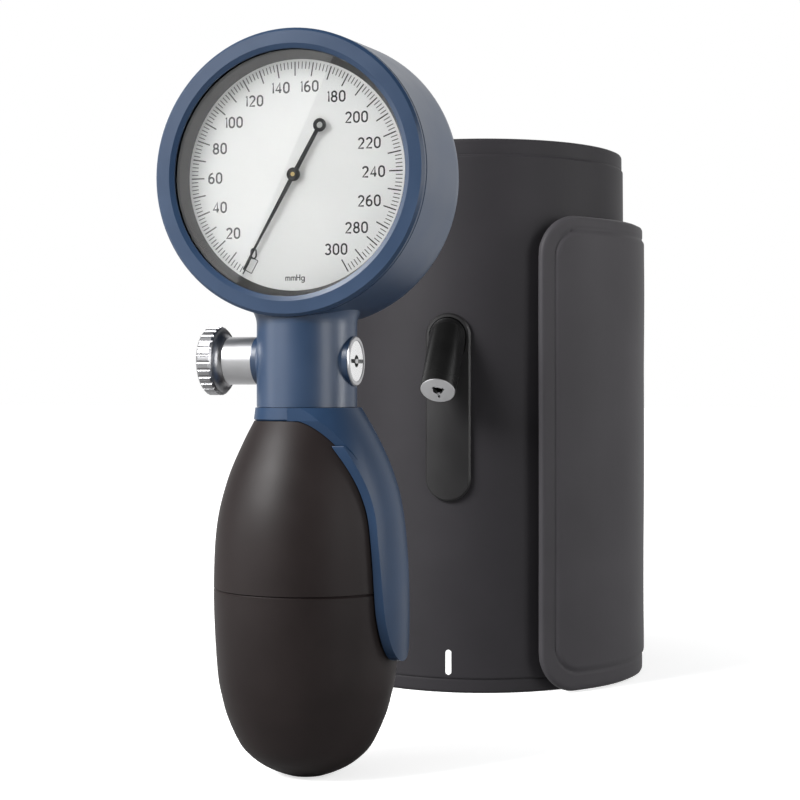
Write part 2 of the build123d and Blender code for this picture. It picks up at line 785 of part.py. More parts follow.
def capsule_boss():
    """The pointed cap soldered to the middle of the capsule's front disc."""
    tip_y = rocker_y + rocker_arm / 2 + boss_tip_gap
    foot_y = capsule_front_y - boss_foot
    return about_dial([(0, tip_y), (boss_tip_r, tip_y), (boss_r, tip_y + boss_cone), (boss_r, foot_y),
                       (boss_foot_r, foot_y), (boss_foot_r, capsule_front_y), (0, capsule_front_y)])


# Bulb and what closes its ends
def side_curve(points):
    """A smooth side through (radius, height) points, drawn in the XZ plane."""
    return Spline(*[(r, 0, z) for r, z in points])


def turned_solid(points):
    """A solid of revolution with a smooth side and flat ends, from (radius, height) points."""
    low_r, low_z = points[0]
    high_r, high_z = points[-1]
    ends = Polyline((high_r, 0, high_z), (0, 0, high_z), (0, 0, low_z), (low_r, 0, low_z))
    return revolve(make_face([side_curve(points), *ends.edges()]), Axis.Z)


def bulb():
    """The thick rubber bulb, open at the neck, with a seat for the inlet valve in its foot."""
    outside = turned_solid(bulb_profile)
    side = [(r - bulb_wall, z) for r, z in bulb_profile if bulb_room_low_z < z < bulb_room_high_z]
    room_points = bulb_room_floor + side + [(spigot_r, spigot_foot_z + bulb_over_spigot)]
    room = turned_solid(room_points)
    floor_z = room_points[0][1] + 1
    high_z = room_points[-1][1] - 1
    mouth = upright([(0, high_z), (spigot_r, high_z), (spigot_r, bulb_top_z + 1), (0, bulb_top_z + 1)])
    seat = upright([(0, -1), (inlet_mouth_r, -1), (inlet_mouth_r, inlet_lip_z), (inlet_r, inlet_lip_z),
                    (inlet_r, floor_z), (0, floor_z)])
    seam_r = max(r for r, z in bulb_profile)
    seam = upright([(seam_r - bulb_seam_depth, bulb_seam_z), (seam_r + 1, bulb_seam_z - bulb_seam_width),
                    (seam_r + 1, bulb_seam_z + bulb_seam_width)])
    return outside - room - mouth - seat - seam


def inlet_valve_body():
    filter_top_z = inlet_recess + filter_thickness
    return upright([(check_hole_r, filter_top_z), (filter_r, filter_top_z), (filter_r, inlet_recess),
                    (inlet_mouth_r, inlet_recess), (inlet_mouth_r, inlet_lip_z), (inlet_r, inlet_lip_z),
                    (inlet_r, inlet_top_z - inlet_slope), (inlet_r - inlet_slope, inlet_top_z),
                    (check_hole_r, inlet_top_z)])


def inlet_filter():
    """A thin mesh disc over the inlet, with a ring of small holes."""
    disc = Pos(0, 0, inlet_recess + filter_thickness / 2) * Cylinder(filter_r, filter_thickness)
    for i in range(filter_holes):
        a = 2 * pi * i / filter_holes
        spot = Pos(filter_hole_at * cos(a), filter_hole_at * sin(a), inlet_recess)
        disc -= spot * Cylinder(filter_hole_r, 4 * filter_thickness)
    return disc - Pos(0, 0, inlet_recess) * Cylinder(filter_hole_r, 4 * filter_thickness)


def check_disc(seat_z):
    """A rubber disc that lies on a valve seat and lifts to let air up."""
    foot = seat_z + check_gap
    return Pos(0, 0, foot + check_disc_thickness / 2) * Cylinder(check_disc_r, check_disc_thickness)


def inlet_valve_disc():
    return check_disc(inlet_top_z)


def outlet_valve_disc():
    return check_disc(outlet_seat_top_z)


def outlet_valve_seat():
    return upright([(check_hole_r, spigot_foot_z), (chamber_r, spigot_foot_z), (chamber_r, outlet_seat_top_z),
                    (check_hole_r, outlet_seat_top_z)])


# Grip lever
def lever_blade():
    """The shell that hugs the bulb, before it is trimmed to its outline."""
    outside = turned_solid(lever_profile + [(neck_r + lever_top_proud, neck_foot_z - collar_gap)])
    low_z = lever_profile[0][1] - 1
    inner = [(r + lever_gap, z) for r, z in bulb_profile[:-1] if z > low_z - 2]
    inner.append((bulb_profile[-1][0] + lever_gap, bulb_top_z + collar_gap))
    return outside - turned_solid(inner)


def lever_outline():
    """The lever's outline seen along X, wide at the collar and round at the tip."""
    right = Spline((0, 0, lever_tip_z), *[(0, y, z) for y, z in lever_outline_points],
                   tangents=[(0, 1, 0), (0, lever_root_lean, 1)])
    left = mirror(right, Plane.XZ)
    root, low_z = lever_outline_points[-1]
    top = Polyline((0, root, low_z), (0, root, neck_foot_z), (0, -root, neck_foot_z), (0, -root, low_z))
    return extrude(make_face([right, left, *top.edges()]), 3 * neck_r, dir=(1, 0, 0))


def grip_lever():
    blade = lever_blade() & lever_outline()
    low_z = bulb_top_z + collar_gap
    high_z = neck_foot_z - collar_gap
    bore_r = spigot_r + collar_gap
    edge_r = neck_r + collar_edge
    collar = upright([(bore_r, low_z), (edge_r, low_z), (neck_r + collar_proud, low_z + collar_edge),
                      (edge_r, high_z), (bore_r, high_z)])
    return blade + collar - Pos(0, 0, neck_foot_z) * Cylinder(bore_r, neck_foot_z - spigot_foot_z)


# Release valve
def valve_barrel():
    """The fixed sleeve pressed into the neck, bored for the knob's stem."""
    return sideways([(valve_bore_r, valve_spigot_x), (valve_spigot_r, valve_spigot_x),
                     (valve_spigot_r, valve_boss_x), (valve_barrel_r, valve_boss_x),
                     (valve_barrel_r, valve_barrel_end_x), (valve_bore_r, valve_barrel_end_x)], valve_z, -1)


def valve_seat():
    """The soft seat at the bottom of the valve's hole, that the needle closes."""
    back_x = valve_spigot_x - valve_seat_thickness
    return sideways([(valve_seat_hole_r, back_x), (valve_spigot_r, back_x), (valve_spigot_r, valve_spigot_x),
                     (valve_seat_mouth_r, valve_spigot_x)], valve_z, -1)


def valve_knob():
    """The knurled head, its waisted throat and the hollow stem inside the barrel."""
    near = valve_barrel_end_x + knob_gap
    stem_r = valve_bore_r - knob_stem_gap
    room_r = needle_r + knob_stem_gap
    waist = [(valve_barrel_r, 0, near), (valve_barrel_r + knob_waist, 0, near + knob_waist_length),
             (knob_r - knob_shoulder, 0, knob_near_x)]
    stem = Polyline((room_r, 0, valve_stem_end_x), (stem_r, 0, valve_stem_end_x), (stem_r, 0, near), waist[0])
    head = Polyline(waist[2], (knob_r, 0, knob_near_x + knob_edge), (knob_r, 0, knob_far_x - knob_edge),
                    (knob_r - knob_edge, 0, knob_far_x), (0, 0, knob_far_x), (0, 0, near), (room_r, 0, near),
                    (room_r, 0, valve_stem_end_x))
    outline = make_face([*stem.edges(), ThreePointArc(*waist), *head.edges()])
    knob = Pos(0, 0, valve_z) * Rot(0, -90, 0) * revolve(outline, Axis.Z)
    groove = Cylinder(knob_groove_r, knob_far_x - knob_near_x + 2)
    groove = Pos(-(knob_near_x + knob_far_x) / 2, 0, valve_z) * Rot(0, 90, 0) \
        * Pos(knob_r + knob_groove_out, 0, 0) * groove
    about = Axis((0, 0, valve_z), (1, 0, 0))
    return knob - [groove.rotate(about, 360 * i / knob_splines) for i in range(knob_splines)]


def valve_needle():
    """The needle that the knob's thread draws off its seat."""
    tip_x = valve_spigot_x - needle_bite
    return sideways([(0, tip_x), (needle_r, tip_x + needle_cone), (needle_r, needle_tail_x),
                     (0, needle_tail_x)], valve_z, -1)


def valve_washer():
    """A thin sealing ring at the inner end of the knob's stem."""
    near = valve_stem_end_x - washer_gap
    inner = needle_r + washer_gap
    return sideways([(inner, near - washer_thickness), (valve_bore_r, near - washer_thickness),
                     (valve_bore_r, near), (inner, near)], valve_z, -1)


# Cuff port on the neck
def port_ring():
    """The chrome ring on the boss's end, with its skirt inside the boss."""
    skirt_r = port_inner_r + port_ring_skirt_wall
    return sideways([(port_inner_r, port_seat_x), (skirt_r, port_seat_x), (skirt_r, port_boss_x),
                     (port_ring_r, port_boss_x), (port_ring_r, port_ring_x - port_ring_edge),
                     (port_ring_r - port_ring_edge, port_ring_x), (port_inner_r, port_ring_x)], port_z, 1)


def port_insert():
    """The round plug screwed into the neck, with a driver's slot across its polished face."""
    head_r = port_inner_r - port_face_gap
    neck_x = port_face_x - port_hole_depth
    plug = sideways([(port_hole_r, neck_x), (port_back_r, neck_x), (port_back_r, port_insert_x),
                     (port_insert_r, port_insert_x), (port_insert_r, port_seat_x), (head_r, port_seat_x),
                     (head_r, port_face_x), (port_hole_r, port_face_x)], port_z, 1)
    return plug - Pos(port_face_x, 0, port_z) * Box(2 * port_slot_depth, 2 * port_ring_r, port_slot)


def port_stem():
    """The guide pin in the port's hole, on a flange with air holes round it."""
    tip = port_face_x - port_stem_short
    stem = sideways([(0, port_flange_x), (port_insert_r, port_flange_x), (port_insert_r, port_insert_x),
                     (port_stem_r, port_insert_x), (port_stem_r, tip), (0, tip)], port_z, 1)
    for a in port_vent_degs:
        y = port_vent_at * cos(radians(a))
        z = port_z + port_vent_at * sin(radians(a))
        stem -= Pos(port_insert_x, y, z) * Rot(0, 90, 0) * Cylinder(port_vent_r, 4 * port_stem_flange)
    return stem


# Cuff
def cuff_point(radius, deg, z=0.0):
    """A point at an angle from the front of the cuff, positive towards +X."""
    return Vector(radius * sin(radians(deg)), cuff_y - radius * cos(radians(deg)), z)


def cuff_arc(radius, deg_from, deg_to, z=0.0):
    return ThreePointArc(cuff_point(radius, deg_from, z), cuff_point(radius, (deg_from + deg_to) / 2, z),
                         cuff_point(radius, deg_to, z))


def cuff_sheet(inner, outer, deg_from, deg_to, z_from, z_to):
    """A curved sheet on the cuff's axis between two radii, two angles and two heights."""
    face = make_face([cuff_arc(inner, deg_from, deg_to, z_from), cuff_arc(outer, deg_from, deg_to, z_from),
                      Line(cuff_point(inner, deg_from, z_from), cuff_point(outer, deg_from, z_from)),
                      Line(cuff_point(inner, deg_to, z_from), cuff_point(outer, deg_to, z_from))])
    return extrude(face, z_to - z_from, dir=(0, 0, 1))


def rolled_side(depth, z):
    """The strip's path, depth under its outside: the roll, the step outward, and the run to the flap."""
    r = cuff_r - depth
    start = cuff_step_from_deg
    end = cuff_step_to_deg
    roll = cuff_arc(r, cuff_inner_end_deg, start, z)
    tangents = [(-cos(radians(a)), -sin(radians(a)), 0) for a in (start, end)]
    step = Spline(cuff_point(r, start, z), cuff_point(r + overlap_shift, end, z), tangents=tangents)
    return [roll, step, cuff_arc(r + overlap_shift, end, flap_root_deg - 360, z)]


def rolled_strip(depth_out, depth_in, z_from, z_to):
    """The rolled strip between two depths, as one curved wall from its inner end to the flap's root."""
    outer = rolled_side(depth_out, z_from)
    inner = rolled_side(depth_in, z_from)
    ends = [Line(outer[0] @ 0, inner[0] @ 0), Line(outer[-1] @ 1, inner[-1] @ 1)]
    return extrude(make_face(outer + inner + ends), z_to - z_from, dir=(0, 0, 1))


def top_trim():
    """What is cut away at the back, where the strip narrows from the roll's height to the flap's."""
    slope_from = cuff_point(cuff_r, cuff_trim_from_deg).X
    limit = cuff_point(cuff_r, cuff_inner_end_deg).X - cuff_trim_clear
    tall = cuff_height + 5
    outline = Polyline((slope_from, 0, cuff_height), (cuff_trim_to_x, 0, flap_top_z), (limit, 0, flap_top_z),
                       (limit, 0, tall), (slope_from, 0, tall), close=True)
    back = Pos(0, cuff_y + cuff_r / 2, 0) * extrude(make_face(outline), cuff_r, dir=(0, 1, 0))
    over = cuff_sheet(cuff_r + cuff_trim_clear, flap_outer_r + 5, cuff_inner_end_deg + 3, flap_root_deg - 5,
                      flap_top_z, tall)
    return back + over


def cuff_cover_sheet():
    """The outer sheet, with its thinner welded borders and the pocket for the bladder."""
    cover = rolled_strip(0, cuff_cover, 0, cuff_height) - top_trim()
    for z_from, z_to in ((-1, cuff_border), (cuff_height - cuff_border, cuff_height + 1)):
        cover -= cuff_sheet(cuff_r - cuff_border_drop, cuff_r + 2, cuff_inner_end_deg - cuff_border_end_deg,
                            cuff_step_from_deg + cuff_border_end_deg, z_from, z_to)
    pocket_r = cuff_r - cuff_cover
    pocket = cuff_sheet(pocket_r - cuff_lining / 2, pocket_r + bladder_thickness + bladder_gap,
                        -bladder_half_deg, bladder_half_deg, bladder_foot_z, bladder_top_z)
    return cover - pocket - cuff_air_way()


def at_connector(piece):
    """Swing a piece made on the cuff's -Y side round to the connector's place."""
    return piece.rotate(Axis((0, cuff_y, 0), (0, 0, 1)), connector_deg)


def cuff_air_way():
    """The hole through the cover behind the elbow, that fills the bladder."""
    hole = Pos(0, cuff_y - cuff_r, elbow_root_z) * Rot(90, 0, 0) * Cylinder(cuff_air_hole_r, 4 * cuff_cover)
    return at_connector(hole)


def cuff_lining_sheet():
    lining = rolled_strip(cuff_cover, cuff_wall, cuff_lining_lift, cuff_height - cuff_lining_lift)
    return lining - top_trim()


def bladder():
    """The flat air bag in the cover's pocket."""
    r = cuff_r - cuff_cover
    return cuff_sheet(r, r + bladder_thickness, -bladder_half_deg + bladder_edge_gap,
                      bladder_half_deg - bladder_edge_gap, bladder_foot_z + bladder_edge_gap,
                      bladder_top_z - bladder_edge_gap)


def flap_sheet(inner, outer, end_deg, root_deg, z_from, z_to, corner):
    """A curved sheet with the two corners at its free end rounded."""
    sheet = cuff_sheet(inner, outer, end_deg, root_deg, z_from, z_to)
    tip = cuff_point((inner + outer) / 2, end_deg)
    corners = [e for e in sheet.edges() if hypot(e.center().X - tip.X, e.center().Y - tip.Y) < 0.01
               and abs(e.length - outer + inner) < 0.01]
    return fillet(corners, corner)


def cuff_flap():
    """The strip's free end, with a slightly proud panel inside its flat welded border."""
    inner = flap_outer_r - cuff_wall
    border_r = flap_outer_r - flap_panel_rise
    root = flap_root_deg - flap_root_gap_deg
    flap = flap_sheet(inner, border_r, flap_end_deg, root, flap_foot_z, flap_top_z, flap_corner_r)
    panel_end = flap_end_deg + degrees(flap_border_end / flap_outer_r)
    panel = flap_sheet(border_r - flap_panel_rise / 2, flap_outer_r, panel_end, root,
                       flap_foot_z + flap_border_foot, flap_top_z - flap_border_top, flap_panel_corner_r)
    return flap + panel


def patch(inner):
    """A patch of fastener tape between the flap and the roll, from its inner radius out."""
    return cuff_sheet(inner, inner + patch_thickness, patch_from_deg, patch_to_deg,
                      patch_margin, flap_top_z - patch_margin)


def loop_patch():
    """The fleecy patch on the roll, that the hooks hold."""
    return patch(cuff_r)


def hook_patch():
    """The hook tape inside the flap."""
    return patch(flap_outer_r - cuff_wall - patch_thickness)


# Port plate and elbow, made on the cuff's -Y side and swung to their place
def elbow_root():
    """The centre of the elbow's round top, just off the cuff's surface."""
    return Vector(0, cuff_y - cuff_r - elbow_root_off, elbow_root_z)


def elbow_way():
    """The elbow's direction, out of the cuff and down."""
    drop = radians(elbow_drop_deg)
    return Vector(0, -cos(drop), -sin(drop))


def along_elbow(radius, start, end):
    """A rod on the elbow's axis, from one distance to another from the centre of its top."""
    foot = Plane(elbow_root() + elbow_way() * start, z_dir=elbow_way())
    return Solid.make_cylinder(radius, end - start, foot)


def elbow_ball(radius):
    root = elbow_root()
    return Pos(root.X, root.Y, root.Z) * Sphere(radius)


def port_plate():
    """The oblong welded to the cuff's front, curved to it, with a broken edge."""
    length = plate_top_z - plate_foot_z
    middle = (plate_top_z + plate_foot_z) / 2
    oblong = Plane.XZ * Rot(0, 0, 90) * SlotOverall(length, plate_width)
    block = Pos(0, cuff_y, middle) * extrude(oblong, 2 * cuff_r)
    shell = cuff_sheet(cuff_r, cuff_r + plate_rise, -plate_swing_deg, plate_swing_deg, plate_foot_z - 1,
                       plate_top_z + 1)
    plate = block & shell
    face_r = cuff_r + plate_rise
    outer = [e for e in plate.edges() if all(abs(hypot(p.X, p.Y - cuff_y) - face_r) < 0.01
                                             for p in (e @ 0, e @ 0.5, e @ 1))]
    plate = chamfer(outer, plate_edge_break)
    seat_r = elbow_root_r + plate_gap
    return at_connector(plate - elbow_ball(seat_r) - along_elbow(seat_r, 0, elbow_length))


def port_elbow():
    """The slanted tube with a round top, open at its back to the bladder's hole."""
    taper = elbow_length - elbow_end
    cone = Solid.make_cone(elbow_root_r, elbow_r, taper, Plane(elbow_root(), z_dir=elbow_way()))
    tube = elbow_ball(elbow_root_r) + cone + along_elbow(elbow_r, taper, elbow_length)
    inside_roll = Pos(0, cuff_y, cuff_height / 2) * Cylinder(cuff_r, 2 * cuff_height)
    bore = elbow_ball(elbow_bore_r) + along_elbow(elbow_bore_r, 0, elbow_length)
    seat = along_elbow(connector_r, connector_back(), elbow_length + 1)
    return at_connector(tube - inside_roll - bore - seat)


def connector_back():
    """The distance of the end disc's back from the centre of the elbow's top."""
    return elbow_length + connector_proud - connector_thickness


def connector_face():
    """The metal end disc with its keyed hole and the short slot below it."""
    back = connector_back()
    front = back + connector_thickness
    disc = along_elbow(connector_r, back, front)
    disc = chamfer(disc.edges().sort_by(Axis(elbow_root(), elbow_way()))[-1], connector_proud)
    disc -= along_elbow(connector_hole_r, back - 1, front + 1)
    face = Plane(elbow_root() + elbow_way() * front, x_dir=(1, 0, 0), z_dir=elbow_way())
    notch = Box(connector_notch_reach, connector_notch, 4 * connector_thickness)
    notch = Pos(connector_notch_reach / 2, 0, 0) * notch
    for a in connector_notch_degs:
        disc -= face * Rot(0, 0, a) * notch
    slot = Box(connector_slot, connector_slot_reach, 2 * connector_slot_depth)
    return at_connector(disc - face * Pos(0, -connector_slot_reach / 2, 0) * slot)


def connector_seal():
    """The rubber ring behind the end disc."""
    back = connector_back()
    outer = along_elbow(elbow_bore_r, back - seal_thickness, back)
    return at_connector(outer - along_elbow(elbow_bore_r - seal_wall, back - seal_thickness - 1, back + 1))


pieces = {
    "gauge_case": gauge_case,
    "bezel_ring": bezel_ring,
    "lens_gasket": lens_gasket,
    "lens": lens,
    "dial_spacer": dial_spacer,
    "dial_plate": dial_plate,
    "pointer": pointer,
    "pointer_hub": pointer_hub,
    "pinion_arbor": pinion_arbor,
    "sector_gear": sector_gear,
    "rocking_shaft": rocking_shaft,
    "movement_front_plate": movement_front_plate,
    "movement_base_plate": movement_base_plate,
    "movement_pillars": movement_pillars,
    "pillar_screws": pillar_screws,
    "post_screws": post_screws,
    "hairspring": hairspring,
    "pressure_capsule": pressure_capsule,
    "capsule_boss": capsule_boss,
    "bulb": bulb,
    "inlet_valve_body": inlet_valve_body,
    "inlet_filter": inlet_filter,
    "inlet_valve_disc": inlet_valve_disc,
    "outlet_valve_seat": outlet_valve_seat,
    "outlet_valve_disc": outlet_valve_disc,
    "grip_lever": grip_lever,
    "valve_barrel": valve_barrel,
    "valve_seat": valve_seat,
    "valve_knob": valve_knob,
    "valve_needle": valve_needle,
    "valve_washer": valve_washer,
    "port_ring": port_ring,
    "port_insert": port_insert,
    "port_stem": port_stem,
    "cuff_cover": cuff_cover_sheet,
    "cuff_lining": cuff_lining_sheet,
    "bladder": bladder,
    "cuff_flap": cuff_flap,
    "loop_patch": loop_patch,
    "hook_patch": hook_patch,
    "port_plate": port_plate,
    "port_elbow": port_elbow,
    "connector_face": connector_face,
    "connector_seal": connector_seal,
}

os.makedirs("parts", exist_ok=True)
for name, make in pieces.items():
    piece = make()
    piece.label = name
    export_step(piece, f"parts/{name}.step")
    print(f"{name}: {len(piece.solids())} solids, {piece.volume:.2f} mm3")
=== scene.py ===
# %% [markdown]
# This lesson dresses a palm-held blood pressure gauge and its arm cuff. The pieces that are turned, moulded
# or cut come from the frame and stay where they are, and only get a finish. The soft pieces and the printing
# are made here, each as its own mesh.
# The first step loads the frame.

# %% Load the frame
import json
import math
import bmesh
import bpy
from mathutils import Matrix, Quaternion, Vector, noise


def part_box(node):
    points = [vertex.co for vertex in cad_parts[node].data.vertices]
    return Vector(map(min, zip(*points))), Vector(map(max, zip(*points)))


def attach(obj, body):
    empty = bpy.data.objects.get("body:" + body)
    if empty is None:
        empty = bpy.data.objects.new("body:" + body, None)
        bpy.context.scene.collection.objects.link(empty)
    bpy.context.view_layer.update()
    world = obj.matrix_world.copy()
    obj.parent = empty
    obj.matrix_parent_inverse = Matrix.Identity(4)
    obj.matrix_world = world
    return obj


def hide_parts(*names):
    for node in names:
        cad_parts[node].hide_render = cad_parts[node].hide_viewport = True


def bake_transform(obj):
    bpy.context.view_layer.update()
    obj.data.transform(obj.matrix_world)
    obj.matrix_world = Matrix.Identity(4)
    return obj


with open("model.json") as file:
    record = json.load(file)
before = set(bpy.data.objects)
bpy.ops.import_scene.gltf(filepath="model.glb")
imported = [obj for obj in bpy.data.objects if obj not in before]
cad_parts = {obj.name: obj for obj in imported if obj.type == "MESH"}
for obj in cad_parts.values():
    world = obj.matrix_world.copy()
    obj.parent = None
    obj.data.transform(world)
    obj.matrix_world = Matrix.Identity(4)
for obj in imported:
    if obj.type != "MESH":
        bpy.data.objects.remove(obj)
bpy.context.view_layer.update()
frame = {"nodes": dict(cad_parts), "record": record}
nodes = frame["nodes"]
MM = 0.001
print("nodes in the frame:", len(nodes))

# %% [markdown]
# The dial, the bulb and the cuff give all the places that the new pieces need. The places could be typed in
# as numbers, but here each is measured from the frame's own boxes, so that the new pieces can't drift away
# from what carries them.

# %% Measure the frame
def low(node):
    """The node's lowest corner in millimetres."""
    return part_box(node)[0] / MM


def high(node):
    """The node's highest corner in millimetres."""
    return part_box(node)[1] / MM


LOOP_THICK = 1.4
dial_x, _, dial_z = (low("dial_plate") + high("dial_plate")) / 2
dial_face_y = low("dial_plate").y
roll_r = high("loop_patch").x - LOOP_THICK
roll_y = low("cuff_cover").y + roll_r
cuff_top = high("cuff_cover").z
flap_r = high("cuff_flap").x
flap_top = high("cuff_flap").z
flap_foot = low("cuff_flap").z
bulb_top = high("bulb").z
print("dial centre, mm:", round(dial_x, 2), round(dial_z, 2), "face at y", round(dial_face_y, 2))
print("roll radius, mm:", round(roll_r, 2), "axis at y", round(roll_y, 2), "flap radius", round(flap_r, 2))

# %% [markdown]
# A product shot like this one uses a long lens at the height of the object's middle, a little to its right.
# Tilting the camera would frame the object, but then upright edges would lean together. So the lens is
# level, and a very small shift frames the object.

# %% Camera
CAMERA_PLACE = (126.1, -324.5, 81.4)
CAMERA_AIM = (-0.309, 0.951, 0.0)
SENSOR_WIDTH, LENS_LENGTH, SHIFT_UP = 36.0, 74.0, -0.01625
NEAR_CLIP, FAR_CLIP = 0.01, 20.0

camera_data = bpy.data.cameras.new("camera")
camera = bpy.data.objects.new("camera", camera_data)
bpy.context.scene.collection.objects.link(camera)
bpy.context.scene.camera = camera
camera.location = Vector(CAMERA_PLACE) * MM
camera.rotation_mode = "QUATERNION"
camera.rotation_quaternion = Vector(CAMERA_AIM).to_track_quat("-Z", "Y")
camera_data.sensor_width = SENSOR_WIDTH
camera_data.lens = LENS_LENGTH
camera_data.shift_y = SHIFT_UP
camera_data.clip_start = NEAR_CLIP
camera_data.clip_end = FAR_CLIP
print("camera at, mm:", [round(c / MM, 1) for c in camera.location])

# %% [markdown]
# A material is a small graph of nodes. It could be drawn by hand in the shader editor, but a graph made by
# code can be read here and made again. These helpers keep the graphs short: one adds a node and sets its
# values, and one joins an output to an input. Every finish below is built with them.

# %% Helpers for materials
def new_material(name):
    """An empty material, with its node tree."""
    material = bpy.data.materials.new(name)
    material.use_nodes = True
    material.node_tree.nodes.clear()
    return material, material.node_tree


def add_node(tree, kind, **values):
    """Add a node, and set the inputs and properties that are named."""
    node = tree.nodes.new(kind)
    for key, value in values.items():
        key = key.replace("_", " ") if key.replace("_", " ") in node.inputs else key
        if key in node.inputs:
            node.inputs[key].default_value = value
        else:
            setattr(node, key, value)
    return node


def join(tree, source, output, target, socket):
    """Link one node's output to another's input, each by its name or number."""
    tree.links.new(source.outputs[output], target.inputs[socket])


CLOUD_LOW, CLOUD_HIGH = 0.3, 0.7


def rescale(tree, source, output, low_value, high_value, from_low=CLOUD_LOW, from_high=CLOUD_HIGH):
    """Stretch a pattern's values to a new range, and clamp them there. A noise stays mostly in 0.3 to 0.7."""
    node = add_node(tree, "ShaderNodeMapRange", From_Min=from_low, From_Max=from_high, To_Min=low_value,
                    To_Max=high_value)
    join(tree, source, output, node, "Value")
    return node


print("helpers ready, and a noise is taken to run from", CLOUD_LOW, "to", CLOUD_HIGH)

# %% [markdown]
# The floor and the room are white paper. A white that comes from brighter lamps would burn out the object, so
# the paper glows a little instead, only for rays that look straight at it or see it in metal or glass. Near
# the object the glow is weaker, and there the paper still takes the object's soft shadow. The paper throws
# little light back at the object, as a dark table edge would, because white paper under a dark bulb and cuff
# would grey their lower halves.

# %% Floor
BOUNCE_GREY, SEEN_GREY = 0.32, 0.8
OBJECT_MIDDLE = (0.0, 0.08, 0.0)
GLOW_NEAR, GLOW_FAR = 0.6, 1.0
GLOW_FROM, GLOW_TO = 0.10, 0.42
MIRRORED_GLOW, MIRRORED_TO = 0.75, 0.25
FLOOR_REACH = 6.0


def make_floor():
    """A large paper floor in metres, whose glow depends on the kind of ray that meets it."""
    material, tree = new_material("white_paper")
    output = tree.nodes.new("ShaderNodeOutputMaterial")
    paper = tree.nodes.new("ShaderNodeBsdfDiffuse")
    shade = add_node(tree, "ShaderNodeMix", data_type="RGBA")
    shade.inputs[6].default_value = (BOUNCE_GREY, BOUNCE_GREY, BOUNCE_GREY, 1)
    shade.inputs[7].default_value = (SEEN_GREY, SEEN_GREY, SEEN_GREY, 1)
    join(tree, shade, 2, paper, "Color")
    glow = add_node(tree, "ShaderNodeEmission", Color=(1, 1, 1, 1))
    both = tree.nodes.new("ShaderNodeAddShader")
    place = tree.nodes.new("ShaderNodeTexCoord")
    away = add_node(tree, "ShaderNodeVectorMath", operation="DISTANCE")
    away.inputs[1].default_value = OBJECT_MIDDLE
    join(tree, place, "Object", away, 0)
    level = rescale(tree, away, "Value", GLOW_NEAR, GLOW_FAR, GLOW_FROM, GLOW_TO)
    split = tree.nodes.new("ShaderNodeSeparateXYZ")
    join(tree, place, "Object", split, "Vector")
    behind = rescale(tree, split, "Y", 0.0, MIRRORED_GLOW, 0.0, MIRRORED_TO)
    ray = tree.nodes.new("ShaderNodeLightPath")
    mirrored = add_node(tree, "ShaderNodeMath", operation="MAXIMUM")
    join(tree, ray, "Is Glossy Ray", mirrored, 0)
    join(tree, ray, "Is Transmission Ray", mirrored, 1)
    reflected = add_node(tree, "ShaderNodeMath", operation="MULTIPLY")
    join(tree, mirrored, 0, reflected, 0)
    join(tree, behind, 0, reflected, 1)
    strength = add_node(tree, "ShaderNodeMath", operation="MULTIPLY_ADD")
    join(tree, ray, "Is Camera Ray", shade, 0)
    join(tree, ray, "Is Camera Ray", strength, 0)
    join(tree, level, 0, strength, 1)
    join(tree, reflected, 0, strength, 2)
    join(tree, strength, 0, glow, "Strength")
    tree.links.new(paper.outputs[0], both.inputs[0])
    tree.links.new(glow.outputs[0], both.inputs[1])
    tree.links.new(both.outputs[0], output.inputs["Surface"])
    shape = bmesh.new()
    bmesh.ops.create_grid(shape, x_segments=1, y_segments=1, size=FLOOR_REACH)
    mesh = bpy.data.meshes.new("floor")
    shape.to_mesh(mesh)
    shape.free()
    mesh.materials.append(material)
    floor = bpy.data.objects.new("floor", mesh)
    bpy.context.scene.collection.objects.link(floor)
    return floor


floor = make_floor()
print("floor made:", floor.name)

# %% [markdown]
# The room fills the shadows with even light. Glossy surfaces see it as a studio: white paper behind the
# object and a dim room in front of it, which is what gives a dark middle between two bright edges. A
# photograph of a studio could do the same, but a plain ramp from front to back needs no image.

# %% Room
ROOM_FILL = 0.22
FRONT_DIM, BACK_WHITE = 0.03, 1.0
DIM_UNTIL, WHITE_FROM = 0.1, 0.75

world = bpy.data.worlds.new("studio")
bpy.context.scene.world = world
world.use_nodes = True
room = world.node_tree
room.nodes.clear()
room_out = room.nodes.new("ShaderNodeOutputWorld")
room_light = add_node(room, "ShaderNodeBackground", Color=(1, 1, 1, 1))
room_path = room.nodes.new("ShaderNodeLightPath")
facing = room.nodes.new("ShaderNodeTexCoord")
split = room.nodes.new("ShaderNodeSeparateXYZ")
join(room, facing, "Generated", split, "Vector")
backdrop = rescale(room, split, "Y", FRONT_DIM, BACK_WHITE, DIM_UNTIL, WHITE_FROM)
mirrored = add_node(room, "ShaderNodeMath", operation="MAXIMUM")
glossy = add_node(room, "ShaderNodeMix", data_type="FLOAT")
seen = add_node(room, "ShaderNodeMix", data_type="FLOAT")
glossy.inputs[2].default_value = ROOM_FILL
seen.inputs[3].default_value = 1.0
join(room, room_path, "Is Glossy Ray", mirrored, 0)
join(room, room_path, "Is Transmission Ray", mirrored, 1)
join(room, mirrored, 0, glossy, 0)
join(room, backdrop, 0, glossy, 3)
join(room, room_path, "Is Camera Ray", seen, 0)
room.links.new(glossy.outputs[0], seen.inputs[2])
room.links.new(seen.outputs[0], room_light.inputs["Strength"])
join(room, room_light, 0, room_out, "Surface")
bpy.context.scene.view_settings.view_transform = "Standard"
print("room nodes:", len(room.nodes))

# %% [markdown]
# Tall softboxes stand at the sides, because they make the long upright highlights that a round neck, bulb
# and cuff show. The key light hangs high at the front left, where it lights the dial but the dial's window
# doesn't mirror it. What the window does mirror is one weak, leaning panel, and that soft patch is what
# shows that there is a window at all. None of the lamps can be seen directly.

# %% Softboxes
PANEL_LEAN_DEG = -25.0


